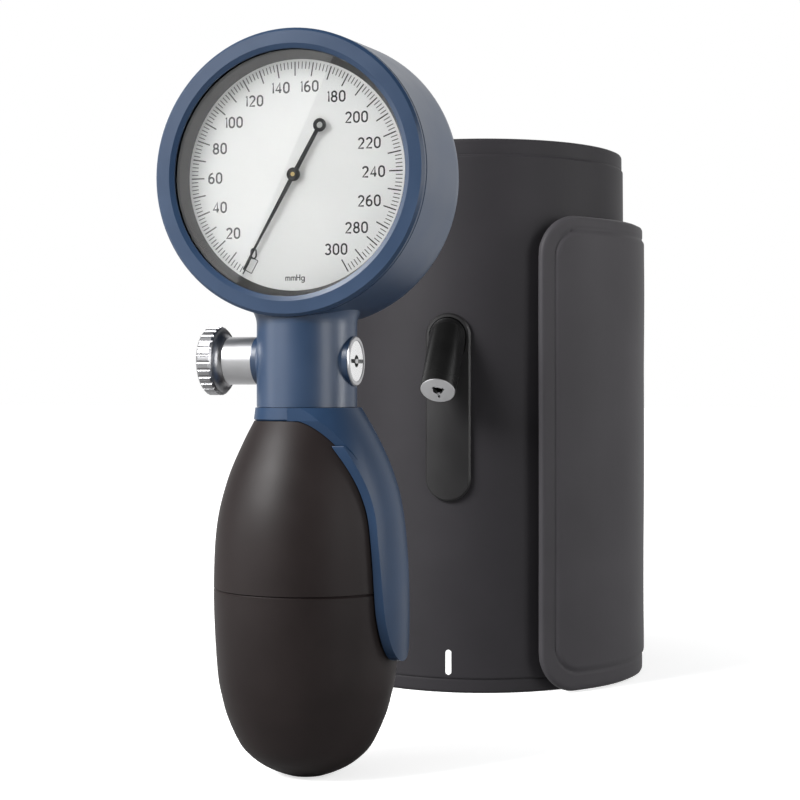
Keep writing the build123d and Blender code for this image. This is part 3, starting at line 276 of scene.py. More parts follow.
def softbox(name, place, aim, width, height, power):
    """A rectangular lamp at a place in millimetres, turned to face another."""
    data = bpy.data.lights.new(name, "AREA")
    data.shape = "RECTANGLE"
    data.size = width * MM
    data.size_y = height * MM
    data.energy = power
    lamp = bpy.data.objects.new(name, data)
    lamp.location = Vector(place) * MM
    lamp.rotation_mode = "QUATERNION"
    lamp.rotation_quaternion = (Vector(aim) - Vector(place)).to_track_quat("-Z", "Y")
    lamp.visible_camera = False
    bpy.context.scene.collection.objects.link(lamp)
    return lamp


softbox("softbox_left", (-565, -205, 180), (0, 20, 90), width=180, height=560, power=1.4)
softbox("softbox_key", (-460, -480, 520), (0, 10, 100), width=340, height=340, power=14.0)
softbox("softbox_right", (650, 200, 180), (0, 60, 90), width=130, height=560, power=2.6)
softbox("softbox_edge", (634, -296, 180), (0, 20, 90), width=240, height=560, power=2.8)
panel = softbox("window_panel", (-465, -600, 317), (-465, 0, 317), width=500, height=700, power=1.5)
panel.rotation_quaternion @= Quaternion((0, 0, 1), math.radians(PANEL_LEAN_DEG))
print("lamps:", [light.name for light in bpy.data.lights])

# %% [markdown]
# Most finishes here differ only in colour, roughness and the size of their grain. One function makes such a
# finish: soft clouds vary the colour and the roughness, as handling and moulding do, and a fine grain gives
# the bump. Photographs of surfaces could be wrapped round the pieces, but a noise needs no unwrapping and
# stays fine from close by. The scales count patterns per metre, because the object's coordinates are in
# metres.

# %% A finish with clouds and grain
def cloudy_tint(tree, clouds, colour, shade):
    """A ramp from a little darker to a little lighter than a colour, led by clouds."""
    tint = tree.nodes.new("ShaderNodeValToRGB")
    ends = zip(tint.color_ramp.elements, (CLOUD_LOW, CLOUD_HIGH), (1 - shade, 1 + shade))
    for element, position, factor in ends:
        element.position = position
        element.color = tuple(min(1.0, c * factor) for c in colour) + (1,)
    join(tree, clouds, "Fac", tint, "Fac")
    return tint


def textured(name, colour, roughness, spread=0.05, cloud=60.0, shade=0.12, grain=4000.0, bump=0.1,
             depth=0.00003, metallic=0.0, stretch=(1, 1, 1), **sockets):
    """A Principled finish whose colour and roughness vary in clouds, with a fine grain as bump."""
    material, tree = new_material(name)
    output = tree.nodes.new("ShaderNodeOutputMaterial")
    shader = add_node(tree, "ShaderNodeBsdfPrincipled", Metallic=metallic, **sockets)
    place = tree.nodes.new("ShaderNodeTexCoord")
    clouds = add_node(tree, "ShaderNodeTexNoise", Scale=cloud, Detail=3.0)
    join(tree, place, "Object", clouds, "Vector")
    tint = cloudy_tint(tree, clouds, colour, shade)
    join(tree, tint, "Color", shader, "Base Color")
    rough = rescale(tree, clouds, "Fac", roughness - spread, roughness + spread)
    join(tree, rough, 0, shader, "Roughness")
    turned = add_node(tree, "ShaderNodeMapping", Scale=stretch)
    fine = add_node(tree, "ShaderNodeTexNoise", Scale=grain, Detail=2.0)
    join(tree, place, "Object", turned, "Vector")
    join(tree, turned, "Vector", fine, "Vector")
    relief = add_node(tree, "ShaderNodeBump", Strength=bump, Distance=depth)
    join(tree, fine, "Fac", relief, "Height")
    join(tree, relief, "Normal", shader, "Normal")
    join(tree, shader, 0, output, "Surface")
    return material


finishes = {}
print("no finishes yet:", len(finishes))

# %% [markdown]
# The shell, ring and lever are one blue plastic, moulded with a faint satin grain. They could share one
# finish, but the ring and the lever shine less than the shell, so each has its own. The small black parts
# are the same kind of plastic: matt on the cuff's plate, satin on its elbow and glossier inside the dial's
# rim.

# %% Plastics
BLUE = (0.014, 0.031, 0.066)
finishes["blue_shell"] = textured("blue_shell", BLUE, 0.36, grain=5200, bump=0.12)
finishes["blue_bezel"] = textured("blue_bezel", BLUE, 0.33, grain=5200, bump=0.10, Specular_IOR_Level=0.32)
finishes["blue_lever"] = textured("blue_lever", BLUE, 0.36, grain=5200, bump=0.10, Specular_IOR_Level=0.16)
finishes["black_plastic"] = textured("black_plastic", (0.009, 0.0085, 0.009), 0.45, grain=3800, bump=0.25,
                                     Specular_IOR_Level=0.35)
finishes["black_gloss"] = textured("black_gloss", (0.004, 0.004, 0.004), 0.26, grain=5200, bump=0.06)
finishes["black_satin"] = textured("black_satin", (0.015, 0.0145, 0.0155), 0.42, grain=4200, bump=0.08)
finishes["black_pointer"] = textured("black_pointer", (0.014, 0.014, 0.015), 0.42, grain=9000, bump=0.05)
print("plastics:", sorted(finishes))

# %% [markdown]
# Rubber is matt, and its bloom and handling leave it slightly uneven. The bulb's rubber is a very dark
# brown. A rough surface alone would still look too pale under the lamps, so its specular level comes down
# too.

# %% Rubbers
finishes["black_rubber"] = textured("black_rubber", (0.014, 0.014, 0.014), 0.62, grain=3000, bump=0.2)
finishes["bulb_rubber"] = textured("bulb_rubber", (0.0120, 0.0086, 0.0084), 0.50, spread=0.07,
                                   cloud=45, shade=0.18, grain=2600, bump=0.22, depth=0.00004,
                                   Specular_IOR_Level=0.15)
print("finishes with the rubbers:", len(finishes))

# %% [markdown]
# Turned metal keeps fine rings from the tool. They could be cut as grooves, but they are so fine that only
# their effect on the light shows. Stretching the grain across the turning axis makes such rings, and the
# roughness spreads the reflections, so satin chrome needs nothing else.

# %% Metals
finishes["brass"] = textured("brass", (0.62, 0.46, 0.20), 0.30, grain=900, bump=0.15, metallic=1.0,
                             stretch=(1, 9, 1))
finishes["bronze"] = textured("bronze", (0.50, 0.32, 0.17), 0.34, grain=1500, bump=0.15, metallic=1.0)
finishes["steel"] = textured("steel", (0.52, 0.52, 0.53), 0.30, grain=1500, bump=0.12, metallic=1.0)
finishes["chrome"] = textured("chrome", (0.48, 0.48, 0.49), 0.36, grain=700, bump=0.12, metallic=1.0,
                              stretch=(12, 1, 1))
finishes["knurled_chrome"] = textured("knurled_chrome", (0.32, 0.32, 0.33), 0.38, grain=700, bump=0.15,
                                      metallic=1.0, stretch=(8, 1, 1))
finishes["polished_face"] = textured("polished_face", (0.90, 0.90, 0.90), 0.20, spread=0.03, shade=0.03,
                                     grain=800, bump=0.04, metallic=1.0)
finishes["satin_steel"] = textured("satin_steel", (0.55, 0.55, 0.56), 0.34, grain=1800, bump=0.12,
                                   metallic=1.0)
print("finishes with the metals:", len(finishes))

# %% [markdown]
# The dial is printed sheet metal, so it gets a white paint with a hint of unevenness. Its window is clear
# plastic: light goes through, and the faint clouds in its roughness are the wiped surface. Clear and glossy
# shaders could be mixed for it, but the main shader bends the light and mirrors the lamps in one.

# %% Dial white and window
finishes["white_dial"] = textured("white_dial", (0.90, 0.90, 0.89), 0.5, shade=0.01, grain=6000, bump=0.03)
finishes["clear_lens"] = textured("clear_lens", (0.985, 0.99, 0.985), 0.015, spread=0.012, shade=0.004,
                                  grain=500, bump=0.01, Transmission_Weight=1.0, IOR=1.45)
print("finishes with the dial and window:", len(finishes))

# %% [markdown]
# The cuff's sheets are coated nylon. Threads could be modelled one by one, but they are too many and too
# fine to see. They cross at right angles, so the relief is two sets of low waves, one along the strip and
# one up it, broader than single threads, and the coating evens them out. The waves follow the sheet's own
# flat coordinates, which each sheet below carries as its UV map in metres. A wave node repeats 20 times in
# 2 pi units, so a scale of 1 / (20 x step) gives waves that are 2 pi steps long. The flap is the same cloth
# as the roll, but its finish is painted about twice as light: painted light on the flap.

# %% Cloth
WAVE_RATE = 20
CLOTH_SHADE = 0.12
CLOTH_RELIEF = 0.00005
FINE_WEAVE = 0.0004


def woven(name, colour, roughness, step, strength, sheen=0.0, fuzz=0.0, shine=0.14):
    """A cloth finish: crossing waves of a step in metres, slightly uneven colour, and a soft sheen."""
    material, tree = new_material(name)
    output = tree.nodes.new("ShaderNodeOutputMaterial")
    shader = add_node(tree, "ShaderNodeBsdfPrincipled", Roughness=roughness)
    shader.inputs["Sheen Weight"].default_value = sheen
    shader.inputs["Specular IOR Level"].default_value = shine
    shader.inputs["Sheen Roughness"].default_value = 0.5
    flat = tree.nodes.new("ShaderNodeTexCoord")
    threads = []
    for direction in ("X", "Y"):
        wave = add_node(tree, "ShaderNodeTexWave", bands_direction=direction, Scale=1 / (step * WAVE_RATE),
                        Distortion=0.4)
        join(tree, flat, "UV", wave, "Vector")
        threads.append(wave)
    cloth = add_node(tree, "ShaderNodeMath", operation="MAXIMUM")
    join(tree, threads[0], "Fac", cloth, 0)
    join(tree, threads[1], "Fac", cloth, 1)
    clouds = add_node(tree, "ShaderNodeTexNoise", Scale=35.0, Detail=4.0)
    join(tree, flat, "Object", clouds, "Vector")
    tint = cloudy_tint(tree, clouds, colour, CLOTH_SHADE)
    join(tree, tint, "Color", shader, "Base Color")
    relief = add_node(tree, "ShaderNodeBump", Strength=strength, Distance=CLOTH_RELIEF)
    if fuzz:
        pile = add_node(tree, "ShaderNodeTexNoise", Scale=fuzz, Detail=4.0)
        join(tree, flat, "Object", pile, "Vector")
        mixed = add_node(tree, "ShaderNodeMath", operation="ADD")
        join(tree, cloth, 0, mixed, 0)
        join(tree, pile, "Fac", mixed, 1)
        cloth = mixed
    join(tree, cloth, 0, relief, "Height")
    join(tree, relief, "Normal", shader, "Normal")
    join(tree, shader, 0, output, "Surface")
    return material


finishes["cuff_fabric"] = woven("cuff_fabric", (0.0185, 0.0172, 0.0195), 0.55, FINE_WEAVE, 0.10, sheen=0.02)
# The same cloth as the roll, painted lighter: this is painted light on the flap.
finishes["flap_fabric_painted_lighter"] = woven("flap_fabric_painted_lighter", (0.036, 0.034, 0.0375), 0.55, FINE_WEAVE, 0.10, sheen=0.02)
finishes["cuff_lining"] = woven("cuff_lining", (0.030, 0.030, 0.032), 0.50, FINE_WEAVE, 0.12, sheen=0.05)
finishes["loop_pile"] = woven("loop_pile", (0.018, 0.018, 0.020), 0.85, 0.0012, 0.6, sheen=0.3, fuzz=1800)
finishes["hook_tape"] = woven("hook_tape", (0.016, 0.016, 0.018), 0.70, 0.0016, 0.9, fuzz=1200)
print("finishes with the cloths:", len(finishes))

# %% [markdown]
# Each piece of the frame now takes the finish that the record names for it. The frame's meshes stay as they
# are, and only their material changes. They could be dressed one by one, but a loop can't miss a piece.

# %% Dress the frame
for part in frame["record"]["subparts"]:
    node = nodes[part["node"]]
    node.data.materials.clear()
    node.data.materials.append(finishes[part["material_slot"]])

# %% [markdown]
# A mesh made in code needs the same last steps each time: turn the working mesh into an object, smooth the
# shading except at sharp corners, hang it on its body and name the finish. Working in millimetres keeps the
# numbers readable, and one factor turns them into metres here.

# %% Helper for new pieces
SHARP_DEG = 40


def place_piece(name, points, faces, slot, body, flat_coords=None, sharp_deg=SHARP_DEG):
    """An object from points in millimetres, with its finish, its body and any flat coordinates."""
    mesh = bpy.data.meshes.new(name)
    mesh.from_pydata([Vector(p) * MM for p in points], [], faces)
    mesh.validate()
    if flat_coords:
        layer = mesh.uv_layers.new(name="flat")
        for loop in mesh.loops:
            layer.data[loop.index].uv = Vector(flat_coords[loop.vertex_index]) * MM
    mesh.shade_smooth()
    mesh.set_sharp_from_angle(angle=math.radians(sharp_deg))
    mesh.materials.append(finishes[slot])
    piece = bpy.data.objects.new(name, mesh)
    bpy.context.scene.collection.objects.link(piece)
    if body:
        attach(piece, body)
    print(name, "points:", len(mesh.vertices), "faces:", len(mesh.polygons))
    return piece


print("edges of new pieces are sharp above, degrees:", SHARP_DEG)

# %% [markdown]
# The dial's scale is one degree for each unit, from 30 degrees left of the bottom, clockwise. An image on
# the dial could carry it, but real shapes stay sharp from close by. Printed ink is a film, so each mark is
# a very thin raised block. A function turns a value and a radius into a place. The ink has a finish of its
# own, so a printed piece takes that after it has been placed.

# %% Scale marks
INK = 0.02
SCALE_R = 23.46
ZERO_DEG, LAST_VALUE = 30, 300
MARK_EVERY, LONG_EVERY = 2, 10
LONG_REACH, LONG_WIDE = 2.9, 0.26
SHORT_REACH, SHORT_WIDE = 1.45, 0.17


def dial_place(value, radius, lift=0.0):
    """The point for a value on the dial, at a radius from its centre, in front of its face."""
    angle = math.radians(ZERO_DEG + value)
    return Vector((dial_x - radius * math.sin(angle), dial_face_y - lift, dial_z - radius * math.cos(angle)))


def add_bar(points, faces, start, end, width):
    """A thin raised bar between two points of the dial."""
    along = (end - start).normalized()
    side = along.cross(Vector((0, 1, 0))) * (width / 2)
    first = len(points)
    for lift in (0.0, INK):
        for corner in (start - side, end - side, end + side, start + side):
            points.append(corner - Vector((0, lift, 0)))
    quads = [(4, 5, 6, 7), (0, 3, 2, 1), (0, 1, 5, 4), (1, 2, 6, 5), (2, 3, 7, 6), (3, 0, 4, 7)]
    faces.extend([tuple(first + i for i in quad) for quad in quads])


finishes["dial_ink"] = textured("dial_ink", (0.022, 0.022, 0.024), 0.6, grain=8000, bump=0.05)
points, faces = [], []
for value in range(0, LAST_VALUE + 1, MARK_EVERY):
    reach, wide = (LONG_REACH, LONG_WIDE) if value % LONG_EVERY == 0 else (SHORT_REACH, SHORT_WIDE)
    add_bar(points, faces, dial_place(value, SCALE_R), dial_place(value, SCALE_R - reach), wide)
ZERO_BOX, ZERO_BOX_WIDE = ((0, 22.5), (-4.2, 22.5), (-4.8, 19.5), (0, 19.5)), 0.16
corners = [dial_place(value, radius) for value, radius in ZERO_BOX]
for start, end in zip(corners, corners[1:] + corners[:1]):
    add_bar(points, faces, start, end, ZERO_BOX_WIDE)


def ride_dial(name, points, faces):
    """A printed piece: it rides with the handset, in the pointer's slot, with the ink's finish."""
    piece = place_piece(name, points, faces, "black_pointer", "handset")
    piece.data.materials.clear()
    piece.data.materials.append(finishes["dial_ink"])
    return piece


ride_dial("scale_marks", points, faces)

# %% [markdown]
# Each figure on the dial is a few strokes in a box one unit high, made of straight lines and parts of
# ellipses. A text object could write them, but its look depends on the font at hand, and even strokes are
# what an instrument's dial shows. The unit's letters are made the same way.

# %% Strokes of the figures
def arc(cx, cy, rx, ry, start, end, steps=14):
    """Points on part of an ellipse, by angles in degrees."""
    turns = [math.radians(start + (end - start) * i / steps) for i in range(steps + 1)]
    return [(cx + rx * math.cos(a), cy + ry * math.sin(a)) for a in turns]


FIGURES = {
    "0": [arc(0.265, 0.66, 0.195, 0.27, 0, 180) + arc(0.265, 0.34, 0.195, 0.27, 180, 360) + [(0.46, 0.66)]],
    "1": [[(0.06, 0.84), (0.13, 0.93), (0.13, 0.07)]],
    "2": [arc(0.265, 0.70, 0.19, 0.23, 165, -35, 16) + [(0.07, 0.07), (0.47, 0.07)]],
    "3": [arc(0.255, 0.715, 0.18, 0.215, 155, -80) + arc(0.255, 0.295, 0.20, 0.225, 75, -155)],
    "4": [[(0.37, 0.07), (0.37, 0.93), (0.06, 0.30), (0.49, 0.30)]],
    "6": [arc(0.44, 0.48, 0.37, 0.46, 100, 178, 10) + arc(0.265, 0.32, 0.195, 0.25, 180, 540, 22)],
    "8": [arc(0.265, 0.72, 0.165, 0.21, 0, 360, 22), arc(0.265, 0.295, 0.195, 0.225, 0, 360, 22)],
    "m": [[(0.07, 0.07), (0.07, 0.60)], arc(0.20, 0.45, 0.13, 0.15, 180, 0, 8) + [(0.33, 0.07)],
          arc(0.46, 0.45, 0.13, 0.15, 180, 0, 8) + [(0.59, 0.07)]],
    "H": [[(0.07, 0.07), (0.07, 0.93)], [(0.48, 0.07), (0.48, 0.93)], [(0.07, 0.50), (0.48, 0.50)]],
    "g": [arc(0.26, 0.33, 0.19, 0.25, 0, 360, 18),
          [(0.45, 0.60), (0.45, 0.0)] + arc(0.26, 0.0, 0.19, 0.20, 0, -150, 8)],
}
print("figures and letters:", len(FIGURES))

# %% [markdown]
# A line of figures is set like type: each figure moves the next one on by its own width. One width for all
# would be simpler, but would leave a gap beside each 1. The dial's figures are wide, so one factor widens
# all of them, and the line is centred on its place.

# %% Lines of figures
ADVANCE = {"1": 0.27, "m": 0.70, "H": 0.60, "g": 0.50}
PLAIN_ADVANCE = 0.61
LEFT_EDGE, RIGHT_EDGE, RIGHT_EDGE_OF_1 = 0.07, 0.46, 0.12
WIDEN = 1.2


def text_width(text, height):
    """The width of a line of figures in millimetres."""
    total = sum(ADVANCE.get(figure, PLAIN_ADVANCE) for figure in text[:-1])
    last = RIGHT_EDGE_OF_1 if text[-1] == "1" else RIGHT_EDGE
    return (total + last - LEFT_EDGE) * height * WIDEN


def text_strokes(text, x, z, height):
    """The strokes of a line of figures, centred on a place of the dial, upright."""
    strokes, offset = [], -text_width(text, height) / 2 - LEFT_EDGE * height * WIDEN
    for figure in text:
        for stroke in FIGURES[figure]:
            strokes.append([(x + offset + px * height * WIDEN, z + (py - 0.5) * height) for px, py in stroke])
        offset += ADVANCE.get(figure, PLAIN_ADVANCE) * height * WIDEN
    return strokes


print("width of 120 at height 1, mm:", round(text_width("120", 1), 2))

# %% [markdown]
# A stroke's outline could be worked out point by point. A pen of one width is easier, and a curve object
# makes its lines well: the curve's round bevel is the pen. Afterwards all of it is pressed flat to the
# ink's thickness. Each number stands at the same gap inside its long mark, so its radius depends on how far
# its box reaches towards the mark.

# %% Print the figures
def print_strokes(name, strokes, pen):
    """Draw strokes with a round pen on the dial, and press them flat."""
    curve = bpy.data.curves.new(name, "CURVE")
    curve.dimensions = "3D"
    curve.bevel_depth = pen / 2 * MM
    curve.bevel_resolution = 1
    curve.use_fill_caps = True
    for stroke in strokes:
        spline = curve.splines.new("POLY")
        spline.points.add(len(stroke) - 1)
        for point, (x, z) in zip(spline.points, stroke):
            point.co = (x * MM, 0, z * MM, 1)
    drawn = bpy.data.objects.new(name + "_pen", curve)
    mesh = bpy.data.meshes.new_from_object(drawn)
    flat = INK / (pen / 2)
    points = [(v.co.x / MM + dial_x, dial_face_y + v.co.y / MM * flat, v.co.z / MM + dial_z)
              for v in mesh.vertices]
    faces = [tuple(face.vertices) for face in mesh.polygons]
    bpy.data.objects.remove(drawn)
    return ride_dial(name, points, faces)


FIGURE_EVERY = 20
FIGURE_TALL, PEN, FIGURE_GAP = 2.4, 0.42, 0.85
UNIT_TALL, UNIT_PEN, UNIT_Z = 1.45, 0.22, -21.3
figure_strokes = []
for value in range(0, LAST_VALUE + 1, FIGURE_EVERY):
    angle = math.radians(ZERO_DEG + value)
    text = str(value)
    half_wide = text_width(text, FIGURE_TALL) / 2 + PEN / 2
    reach = math.hypot(math.sin(angle) * half_wide, math.cos(angle) * FIGURE_TALL / 2)
    radius = SCALE_R - LONG_REACH - FIGURE_GAP - reach
    figure_strokes += text_strokes(text, -radius * math.sin(angle), -radius * math.cos(angle), FIGURE_TALL)
print_strokes("dial_figures", figure_strokes, PEN)
print_strokes("dial_unit", text_strokes("mmHg", 0, UNIT_Z, UNIT_TALL), UNIT_PEN)

# %% [markdown]
# The bulb is moulded rubber with a thick wall, open at the neck and at its foot. A turned line with a
# modifier that thickens it would give one even wall, but the mouth and the valve's seat differ from the
# rest. So it is turned here from a closed outline: up the outside, in over the rim, and down the inside.
# The outside is a smooth curve through a few measured points, with the fine groove of the mould's parting
# line.

# %% Bulb
BULB_SIDE = [(4.4, 0.0), (7.0, 1.0), (9.7, 2.4), (12.35, 4.5), (14.3, 7.0), (16.5, 11.8), (17.7, 15.8),
             (18.9, 22.5), (19.6, 38.9), (19.0, 52.0), (16.7, 62.0), (13.5, 69.6), (11.1, bulb_top)]
SEAM_Z = 39.2
SEAM = ((-0.6, 0.0), (-0.28, -0.01), (-0.12, 0.2), (0.0, 0.28), (0.12, 0.2), (0.28, -0.01), (0.6, 0.0))
SEAM_ROOM = 0.8
WALL, MOUTH_R, FOOT_HOLE_R = 2.4, 7.5, 3.3
FOOT_THICK, NECK_SEAT_Z = 2.2, 66.0
INSIDE_FROM, INSIDE_TO = 15.0, 65.0
VALVE_SEAT = [(5.5, FOOT_THICK), (5.5, 9.0), (7.1, 9.0), (12.6, 10.9)]
WOBBLE, LUMP_SIZE = 0.07, 14


def smooth_line(line, steps):
    """More points on a curve that runs through the given ones."""
    result = []
    for i in range(len(line) - 1):
        a = Vector(line[max(i - 1, 0)])
        b, c = Vector(line[i]), Vector(line[i + 1])
        d = Vector(line[min(i + 2, len(line) - 1)])
        for k in range(steps):
            t = k / steps
            result.append(0.5 * (2 * b + (c - a) * t + (2 * a - 5 * b + 4 * c - d) * t**2
                                 + (3 * b - a - 3 * c + d) * t**3))
    return result + [Vector(line[-1])]


def turn_outline(name, outline, slot, body, segments=96, wobble=0.0):
    """Turn a closed outline of (radius, height) about the upright axis, slightly uneven where asked."""
    points, faces = [], []
    for k in range(segments):
        turn = 2 * math.pi * k / segments
        for r, z in outline:
            spot = Vector((r * math.cos(turn), r * math.sin(turn), z))
            uneven = 1 + wobble / max(r, 1.0) * noise.noise(spot / LUMP_SIZE)
            points.append((spot.x * uneven, spot.y * uneven, z))
    count = len(outline)
    for k in range(segments):
        after = (k + 1) % segments
        for i in range(count):
            j = (i + 1) % count
            faces.append((k * count + i, after * count + i, after * count + j, k * count + j))
    return place_piece(name, points, faces, slot, body, sharp_deg=50)


outside = [tuple(p) for p in smooth_line(BULB_SIDE, 6)]
seam_r = max(r for r, z in outside)
outside = [p for p in outside if abs(p[1] - SEAM_Z) > SEAM_ROOM]
for offset, dip in SEAM:
    outside.append((seam_r - dip, SEAM_Z + offset))
outside.sort(key=lambda p: p[1])
inside = [(r - WALL, z) for r, z in outside if INSIDE_FROM < z < INSIDE_TO and abs(z - SEAM_Z) > 1.0]
inside = VALVE_SEAT + inside + [(MOUTH_R, NECK_SEAT_Z)]
bulb_outline = [(FOOT_HOLE_R, 0.0)] + outside + [(MOUTH_R, bulb_top)] + inside[::-1]
bulb_outline.append((FOOT_HOLE_R, FOOT_THICK))
bulb_piece = turn_outline("rubber_bulb", bulb_outline, "bulb_rubber", "handset", wobble=WOBBLE)
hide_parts("bulb")

# %% [markdown]
# The cuff is one strip, rolled up and closed with its own flap. The roll starts at the back inside, runs
# round the front, steps outward over its own start and goes on to the flap. Simulated cloth could be wound
# up like that, but a formula keeps each layer at its own depth, so that none cuts through the next. A place
# on the strip is an angle, a depth under the outside and a height. A slow unevenness, shared by all the
# layers, keeps the cloth from looking machined, and it fades out under the port's stiff plate.

# %% The rolled strip
INNER_END, STEP_FROM, STEP_TO, ROOT, FREE_END = 165.0, -115.0, -195.0, -240.0, -324.3
STRIP_WALL = 3.0
PORT_DEG, PLATE_Z = 4.4, 76
PLATE_HALF_DEG, PLATE_HALF_TALL, PLATE_FADE = 11, 27, 8
SLOPE_FROM, SLOPE_FURTHEST, SLOPE_END_X = -135.0, -178.0, -8.0
WAVE_DEEP, WAVE_TALL = 0.30, 32
WAVES_ROUND, WAVE_DRIFT = 1.5, 400


def ease(value):
    """0 below 0, 1 above 1, and a smooth way between."""
    value = min(max(value, 0.0), 1.0)
    return value * value * (3 - 2 * value)


def strip_radius(deg):
    """The radius of the strip's outside at an angle of the roll."""
    return roll_r + (flap_r - roll_r) * ease((STEP_FROM - deg) / (STEP_FROM - STEP_TO))


def unevenness(deg, z):
    """The cloth's slow waves in millimetres, none under the plate."""
    turn = math.radians(deg)
    spot = Vector((WAVES_ROUND * math.sin(turn), WAVES_ROUND * math.cos(turn),
                   z / WAVE_TALL + deg / WAVE_DRIFT))
    beside = ease((abs(deg - PORT_DEG) - PLATE_HALF_DEG) / PLATE_FADE)
    beyond = ease((abs(z - PLATE_Z) - PLATE_HALF_TALL) / PLATE_FADE)
    return WAVE_DEEP * noise.noise(spot) * (1 - (1 - beside) * (1 - beyond))


def strip_place(deg, depth, z):
    """A point of the roll, at an angle, a depth under the outside and a height."""
    r = strip_radius(deg) - depth + unevenness(deg, z)
    turn = math.radians(deg)
    return (r * math.sin(turn), roll_y - r * math.cos(turn), z)


def strip_top(deg):
    """The strip's upper edge: full height on the roll, then a slope at the back down to the flap's height."""
    if deg > SLOPE_FROM:
        return cuff_top
    x = roll_r * math.sin(math.radians(max(deg, SLOPE_FURTHEST)))
    start = roll_r * math.sin(math.radians(SLOPE_FROM))
    return cuff_top + (flap_top - cuff_top) * min((x - start) / (SLOPE_END_X - start), 1.0)


print("strip radius at the front, step and flap:", [round(strip_radius(a), 2) for a in (0, -155, -240)])

# %% [markdown]
# Every sheet of the cuff is made the same way: a grid of columns along the strip and rows up it, once for
# the outer side and once for the inner, and closed round the edge. A modifier could thicken a single grid,
# but then both sides would have the same shape. Columns and rows are close together near the edges, where
# the rounding, the welded border and its groove need them, and wide apart in the plain middle.

# %% Sheets from a grid
def spaced(length, near, fine, coarse):
    """Distances from 0 to length, fine within `near` of both ends and coarse between."""
    count = max(2, round(near / fine))
    edge = [near * i / count for i in range(count)]
    middle = max(1, round((length - 2 * near) / coarse))
    centre = [near + (length - 2 * near) * i / middle for i in range(middle + 1)]
    return edge + centre + [length - d for d in reversed(edge)]


def sheet_piece(name, columns, rows, place, outer, inner, slot, body):
    """A closed sheet. place gives an angle, a height and a flat spot; outer and inner give the depths."""
    points, flats, faces = [], [], []
    across = len(rows)
    for depth_of in (outer, inner):
        for column in columns:
            for row in rows:
                deg, z, flat = place(column, row)
                points.append(strip_place(deg, depth_of(column, row, deg, z), z))
                flats.append(flat)
    half = len(columns) * across

    def at(side, i, j):
        return side * half + i * across + j

    for i in range(len(columns) - 1):
        for j in range(across - 1):
            faces.append((at(0, i, j), at(0, i, j + 1), at(0, i + 1, j + 1), at(0, i + 1, j)))
            faces.append((at(1, i, j), at(1, i + 1, j), at(1, i + 1, j + 1), at(1, i, j + 1)))
    for i in range(len(columns) - 1):
        faces.append((at(0, i, 0), at(0, i + 1, 0), at(1, i + 1, 0), at(1, i, 0)))
        faces.append((at(0, i + 1, across - 1), at(0, i, across - 1), at(1, i, across - 1),
                      at(1, i + 1, across - 1)))
    for j in range(across - 1):
        faces.append((at(0, 0, j + 1), at(0, 0, j), at(1, 0, j), at(1, 0, j + 1)))
        last = len(columns) - 1
        faces.append((at(0, last, j), at(0, last, j + 1), at(1, last, j + 1), at(1, last, j)))
    return place_piece(name, points, faces, slot, body, flats, sharp_deg=60)


def edge_round(distance, radius):
    """How far a rounded edge falls away, this far from the outline."""
    if distance >= radius:
        return 0.0
    return radius - math.sqrt(max(radius**2 - (radius - distance)**2, 0.0))


def groove(distance, depth, width):
    """The depth of a narrow groove, this far from its middle."""
    return depth * math.exp(-(distance / width)**2)


print("columns of a 100 mm sheet:", len(spaced(100, 8, 0.5, 2.5)))

# %% [markdown]
# The cover is the strip's outer sheet. Along its upper and lower edges the two sheets are welded together
# in a flat band a little under the surface, with a fine groove where the band ends. The band could be a
# ribbon of its own, but on the real cuff it is the same cloth, pressed down, so the sheet's depth makes it.
# Behind the front, the cover is thinner, because the air bag lies there. Rows near an edge keep their
# distance from it, also where the strip gets lower, and the rows between them share the rest.

# %% Cuff cover
COVER, LINING = 2.0, 1.0
BAND_TOP, BAND_FOOT, BAND_SUNK, BAND_SLOPE = 4.4, 3.8, 0.35, 0.5
GROOVE_DEEP, GROOVE_WIDE = 0.22, 0.22
EDGE_R, INNER_EDGE_SHARE, END_ROOM_DEG = 0.8, 0.3, 3.0
EDGE_ROWS = 20
BAG_HALF_DEG, BAG_FOOT, BAG_TOP, BAG_SUNK = 100, 12, 135, 1.12
BAG_FADE_DEG, BAG_FADE = 2, 1.5
DEG_PER_RADIAN = 57.3


def cover_place(column, row):
    """A column's angle and a row's height on the cover, with its spot on the flat strip."""
    top = strip_top(column)
    if row < EDGE_ROWS:
        z = row
    elif row > cuff_top - EDGE_ROWS:
        z = top - (cuff_top - row)
    else:
        z = EDGE_ROWS + (row - EDGE_ROWS) * (top - 2 * EDGE_ROWS) / (cuff_top - 2 * EDGE_ROWS)
    return column, z, (strip_radius(column) * math.radians(INNER_END - column), z)


def cover_outer(column, row, deg, z):
    """How far the cover's outer side lies under the strip's outside."""
    top = strip_top(deg)
    from_end = strip_radius(deg) * math.radians(min(INNER_END - deg, deg - ROOT) + END_ROOM_DEG)
    from_edge = min(z, top - z, from_end)
    band = max(1 - ease(d / BAND_SLOPE + 0.5) for d in (z - BAND_FOOT, top - z - BAND_TOP))
    line = sum(groove(d, GROOVE_DEEP, GROOVE_WIDE) for d in (z - BAND_FOOT, top - z - BAND_TOP))
    return BAND_SUNK * band + line + edge_round(from_edge, EDGE_R)


def cover_inner(column, row, deg, z):
    """How far the cover's inner side lies under the strip's outside, less over the air bag."""
    in_bag = ease((BAG_HALF_DEG - abs(deg)) / BAG_FADE_DEG)
    in_bag *= ease((z - BAG_FOOT) / BAG_FADE)
    in_bag *= ease((BAG_TOP - z) / BAG_FADE)
    return COVER - BAG_SUNK * in_bag - INNER_EDGE_SHARE * edge_round(min(z, strip_top(deg) - z), EDGE_R)


